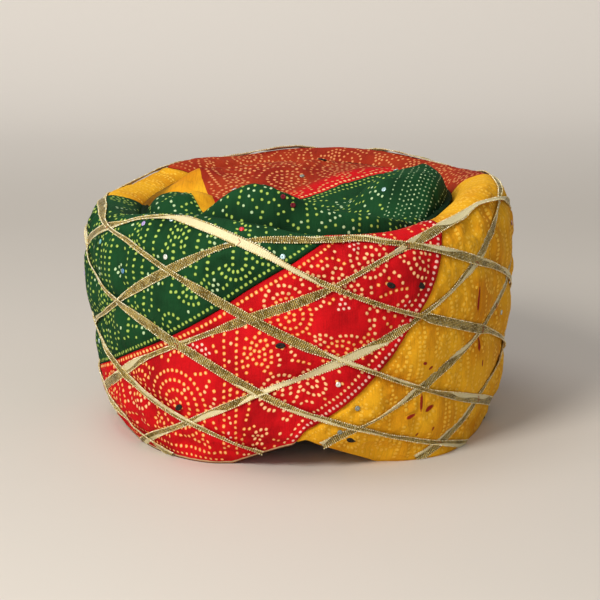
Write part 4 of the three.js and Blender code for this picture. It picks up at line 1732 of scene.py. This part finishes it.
def sewSequins():
    points, outs = map(np.concatenate, zip(wallSpots(sequins), crownSpots(crownSequins)))
    names = [name for _, _, name in sequins + crownSequins]
    tints = [sequinTints[name] for name in names]
    sizes = [sequinLook["coalSize"] if name == "coal" else (1, 1, 1) for name in names]
    cloud = pointCloud("sequinSpots", points, outs,
                       fields=[("tint", tints, "FLOAT_COLOR"), ("size", sizes, "FLOAT_VECTOR")])
    piece = applyTree(cloud, sequinTree(sequinMaterial()), {
        "Radius": (sequinLook["radius"] - sequinLook["rim"] / 2) * mm,
        "Rim": sequinLook["rim"] * mm, "Thickness": sequinLook["thick"] * mm}, "sequins")
    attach(piece, "root")


sewSequins()


# Where two ribbons cross, red stitches tack them down.
stitchLook = {
    "length": 2.6,
    "thick": 0.32,
    "slant": 35,
    "sway": 0.5,
    "off": 1.25,  # mm out from the lower ribbon
    "apart": 1.2,  # mm to either side of the crossing
    "rimUp": 118,  # mm up from which on each crossing is tacked
    "bare": 0.72,  # the share of the lower crossings that has no stitch
    "near": 2.5,  # mm within which two ribbons cross
}


def stitchTree(material):
    tree, board, given = newTree("tackStitches", [("Length", "Float"), ("Thickness", "Float")])
    stitch = board.node("GeometryNodeMeshUVSphere", values={"Segments": 8, "Rings": 5,
                                                           "Radius": 0.5})
    size = board.node("ShaderNodeCombineXYZ", values={
        0: given["Length"], 1: given["Thickness"], 2: given["Thickness"]})
    laid = board.node("GeometryNodeInstanceOnPoints", values={
        "Points": given["Geometry"], "Instance": stitch, "Scale": size,
        "Rotation": facing(board, "X", facing(board), "along")})
    endTree(board, laid, material)
    return tree


def threadMaterial():
    material, board = newMaterial("tackThread")
    objectAt = board.node("ShaderNodeTexCoord", out="Object")
    twist = board.noise(objectAt, 900, 2)
    colour = board.blend(twist, rgba(0.50, 0.03, 0.02), rgba(0.32, 0.012, 0.012))
    board.surface({"Base Color": colour, "Roughness": 0.8}, twist, 0.5, 0.0001)
    return material


# Finds where a falling half passes over a rising one.
def crossings():
    found = []
    for i, falling in enumerate(courses):
        down = falling["away"] > 4
        tree = kdtree.KDTree(int(down.sum()))
        for number, point in enumerate(falling["middle"][down]):
            tree.insert(point, number)
        tree.balance()
        for j, rising in enumerate(courses):
            if i == j:
                continue
            up = np.where(rising["away"] < 8)[0]
            gaps = np.array([tree.find(rising["middle"][k])[2] for k in up])
            best = int(np.argmin(gaps))
            if gaps[best] < stitchLook["near"]:
                k = up[best]
                found.append((rising["middle"][k], rising["out"][k], rising["across"][k]))
    return found


def tackRibbons():
    look = stitchLook
    rng = np.random.default_rng(9)
    points, outs, alongs = [], [], []
    for place, out, across in crossings():
        if place[2] < look["rimUp"] and rng.uniform() < look["bare"]:
            continue
        for side in (-1, 1):
            slant = math.radians(look["slant"]) + rng.uniform(-look["sway"], look["sway"])
            way = across * math.cos(slant) + np.cross(out, across) * math.sin(slant) * side
            points.append(place + out * look["off"] + way * look["apart"] * side)
            outs.append(out)
            alongs.append(way)
    cloud = pointCloud("stitchSpots", points, outs, fields=[("along", alongs, "FLOAT_VECTOR")])
    piece = applyTree(cloud, stitchTree(threadMaterial()), {
        "Length": look["length"] * mm, "Thickness": look["thick"] * mm}, "tackStitches")
    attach(piece, "root")
    print("tacked with", len(points), "stitches")


tackRibbons()


# The plain pale room, the light and the camera.
studio = {
    "floor": rgba(0.64, 0.59, 0.53),
    "floorShade": rgba(0.60, 0.55, 0.485),
    "backdrop": rgba(0.92, 0.86, 0.79),
    "floorLong": (-3, 0.9),  # m along Y
    "floorWide": 4,
    "bend": (0.35, 7, 12),  # its radius, and how many of how many steps to upright are built
    "target": (0.0008, 0.0, 0.0640),
    "middle": 0.06,  # the height that the camera circles
    "away": 1.5,
    "elevation": 13.47,
    "lens": 158.1,
    "room": 0.36,
    "lamps": [
        ("keyLight", (-0.72, -1.05, 1.05), 0.6, 19.5, (1, 0.97, 0.92)),
        ("topLight", (-0.4, 0.1, 1.6), 0.9, 6.0, (1, 1, 1)),
        ("fillLight", (-0.2, -1.5, 0.35), 0.8, 2.6, (1, 0.98, 0.95)),
    ],
}


def makeRoom():
    material, board = newMaterial("paleFloor")
    objectAt = board.node("ShaderNodeTexCoord", out="Object")
    grain = board.noise(objectAt, 9, 4)
    _, back, _ = board.split(objectAt)
    floor = board.blend(grain * 0.35, studio["floor"], studio["floorShade"])
    colour = board.blend(board.ease(back, 0.5, 1.1), floor, studio["backdrop"])
    board.surface({"Base Color": colour, "Roughness": 0.6})
    # The floor turns up only as far as the photo's camera sees it, so the back can be seen too.
    start, end = studio["floorLong"]
    radius, built, upright = studio["bend"]
    rows = [(start, 0), (end, 0)]
    for step in range(1, built + 1):
        a = math.pi / 2 * step / upright
        rows.append((end + radius * math.sin(a), radius - radius * math.cos(a)))
    wide = studio["floorWide"]
    points = [(x, y, z) for y, z in rows for x in (-wide, wide)]
    faces = [[2 * i, 2 * i + 1, 2 * i + 3, 2 * i + 2] for i in range(len(rows) - 1)]
    newPiece("paleRoom", points, faces, material)


def makeStudio():
    scene = bpy.context.scene
    makeRoom()
    for name, place, size, power, colour in studio["lamps"]:
        lamp = bpy.data.lights.new(name, "AREA")
        lamp.shape, lamp.size, lamp.energy, lamp.color = "DISK", size, power, colour
        holder = bpy.data.objects.new(name, lamp)
        scene.collection.objects.link(holder)
        holder.location = place
        aim = Vector((0, 0, 0.07)) - holder.location
        holder.rotation_euler = aim.to_track_quat("-Z", "Y").to_euler()
    world = bpy.data.worlds.new("softRoom")
    scene.world = world
    world.use_nodes = True
    background = world.node_tree.nodes["Background"]
    background.inputs["Color"].default_value = rgba(1, 0.98, 0.95)
    background.inputs["Strength"].default_value = studio["room"]
    scene.view_settings.view_transform = "Standard"
    lens = bpy.data.cameras.new("photoCamera")
    lens.lens, lens.sensor_width, lens.clip_start = studio["lens"], 36, 0.05
    camera = bpy.data.objects.new("photoCamera", lens)
    scene.collection.objects.link(camera)
    tilt = math.radians(studio["elevation"])
    away = studio["away"]
    camera.location = (0, -math.cos(tilt) * away, studio["middle"] + math.sin(tilt) * away)
    aim = Vector(studio["target"]) - camera.location
    camera.rotation_euler = aim.to_track_quat("-Z", "Y").to_euler()
    scene.camera = camera


makeStudio()
print("studio ready")
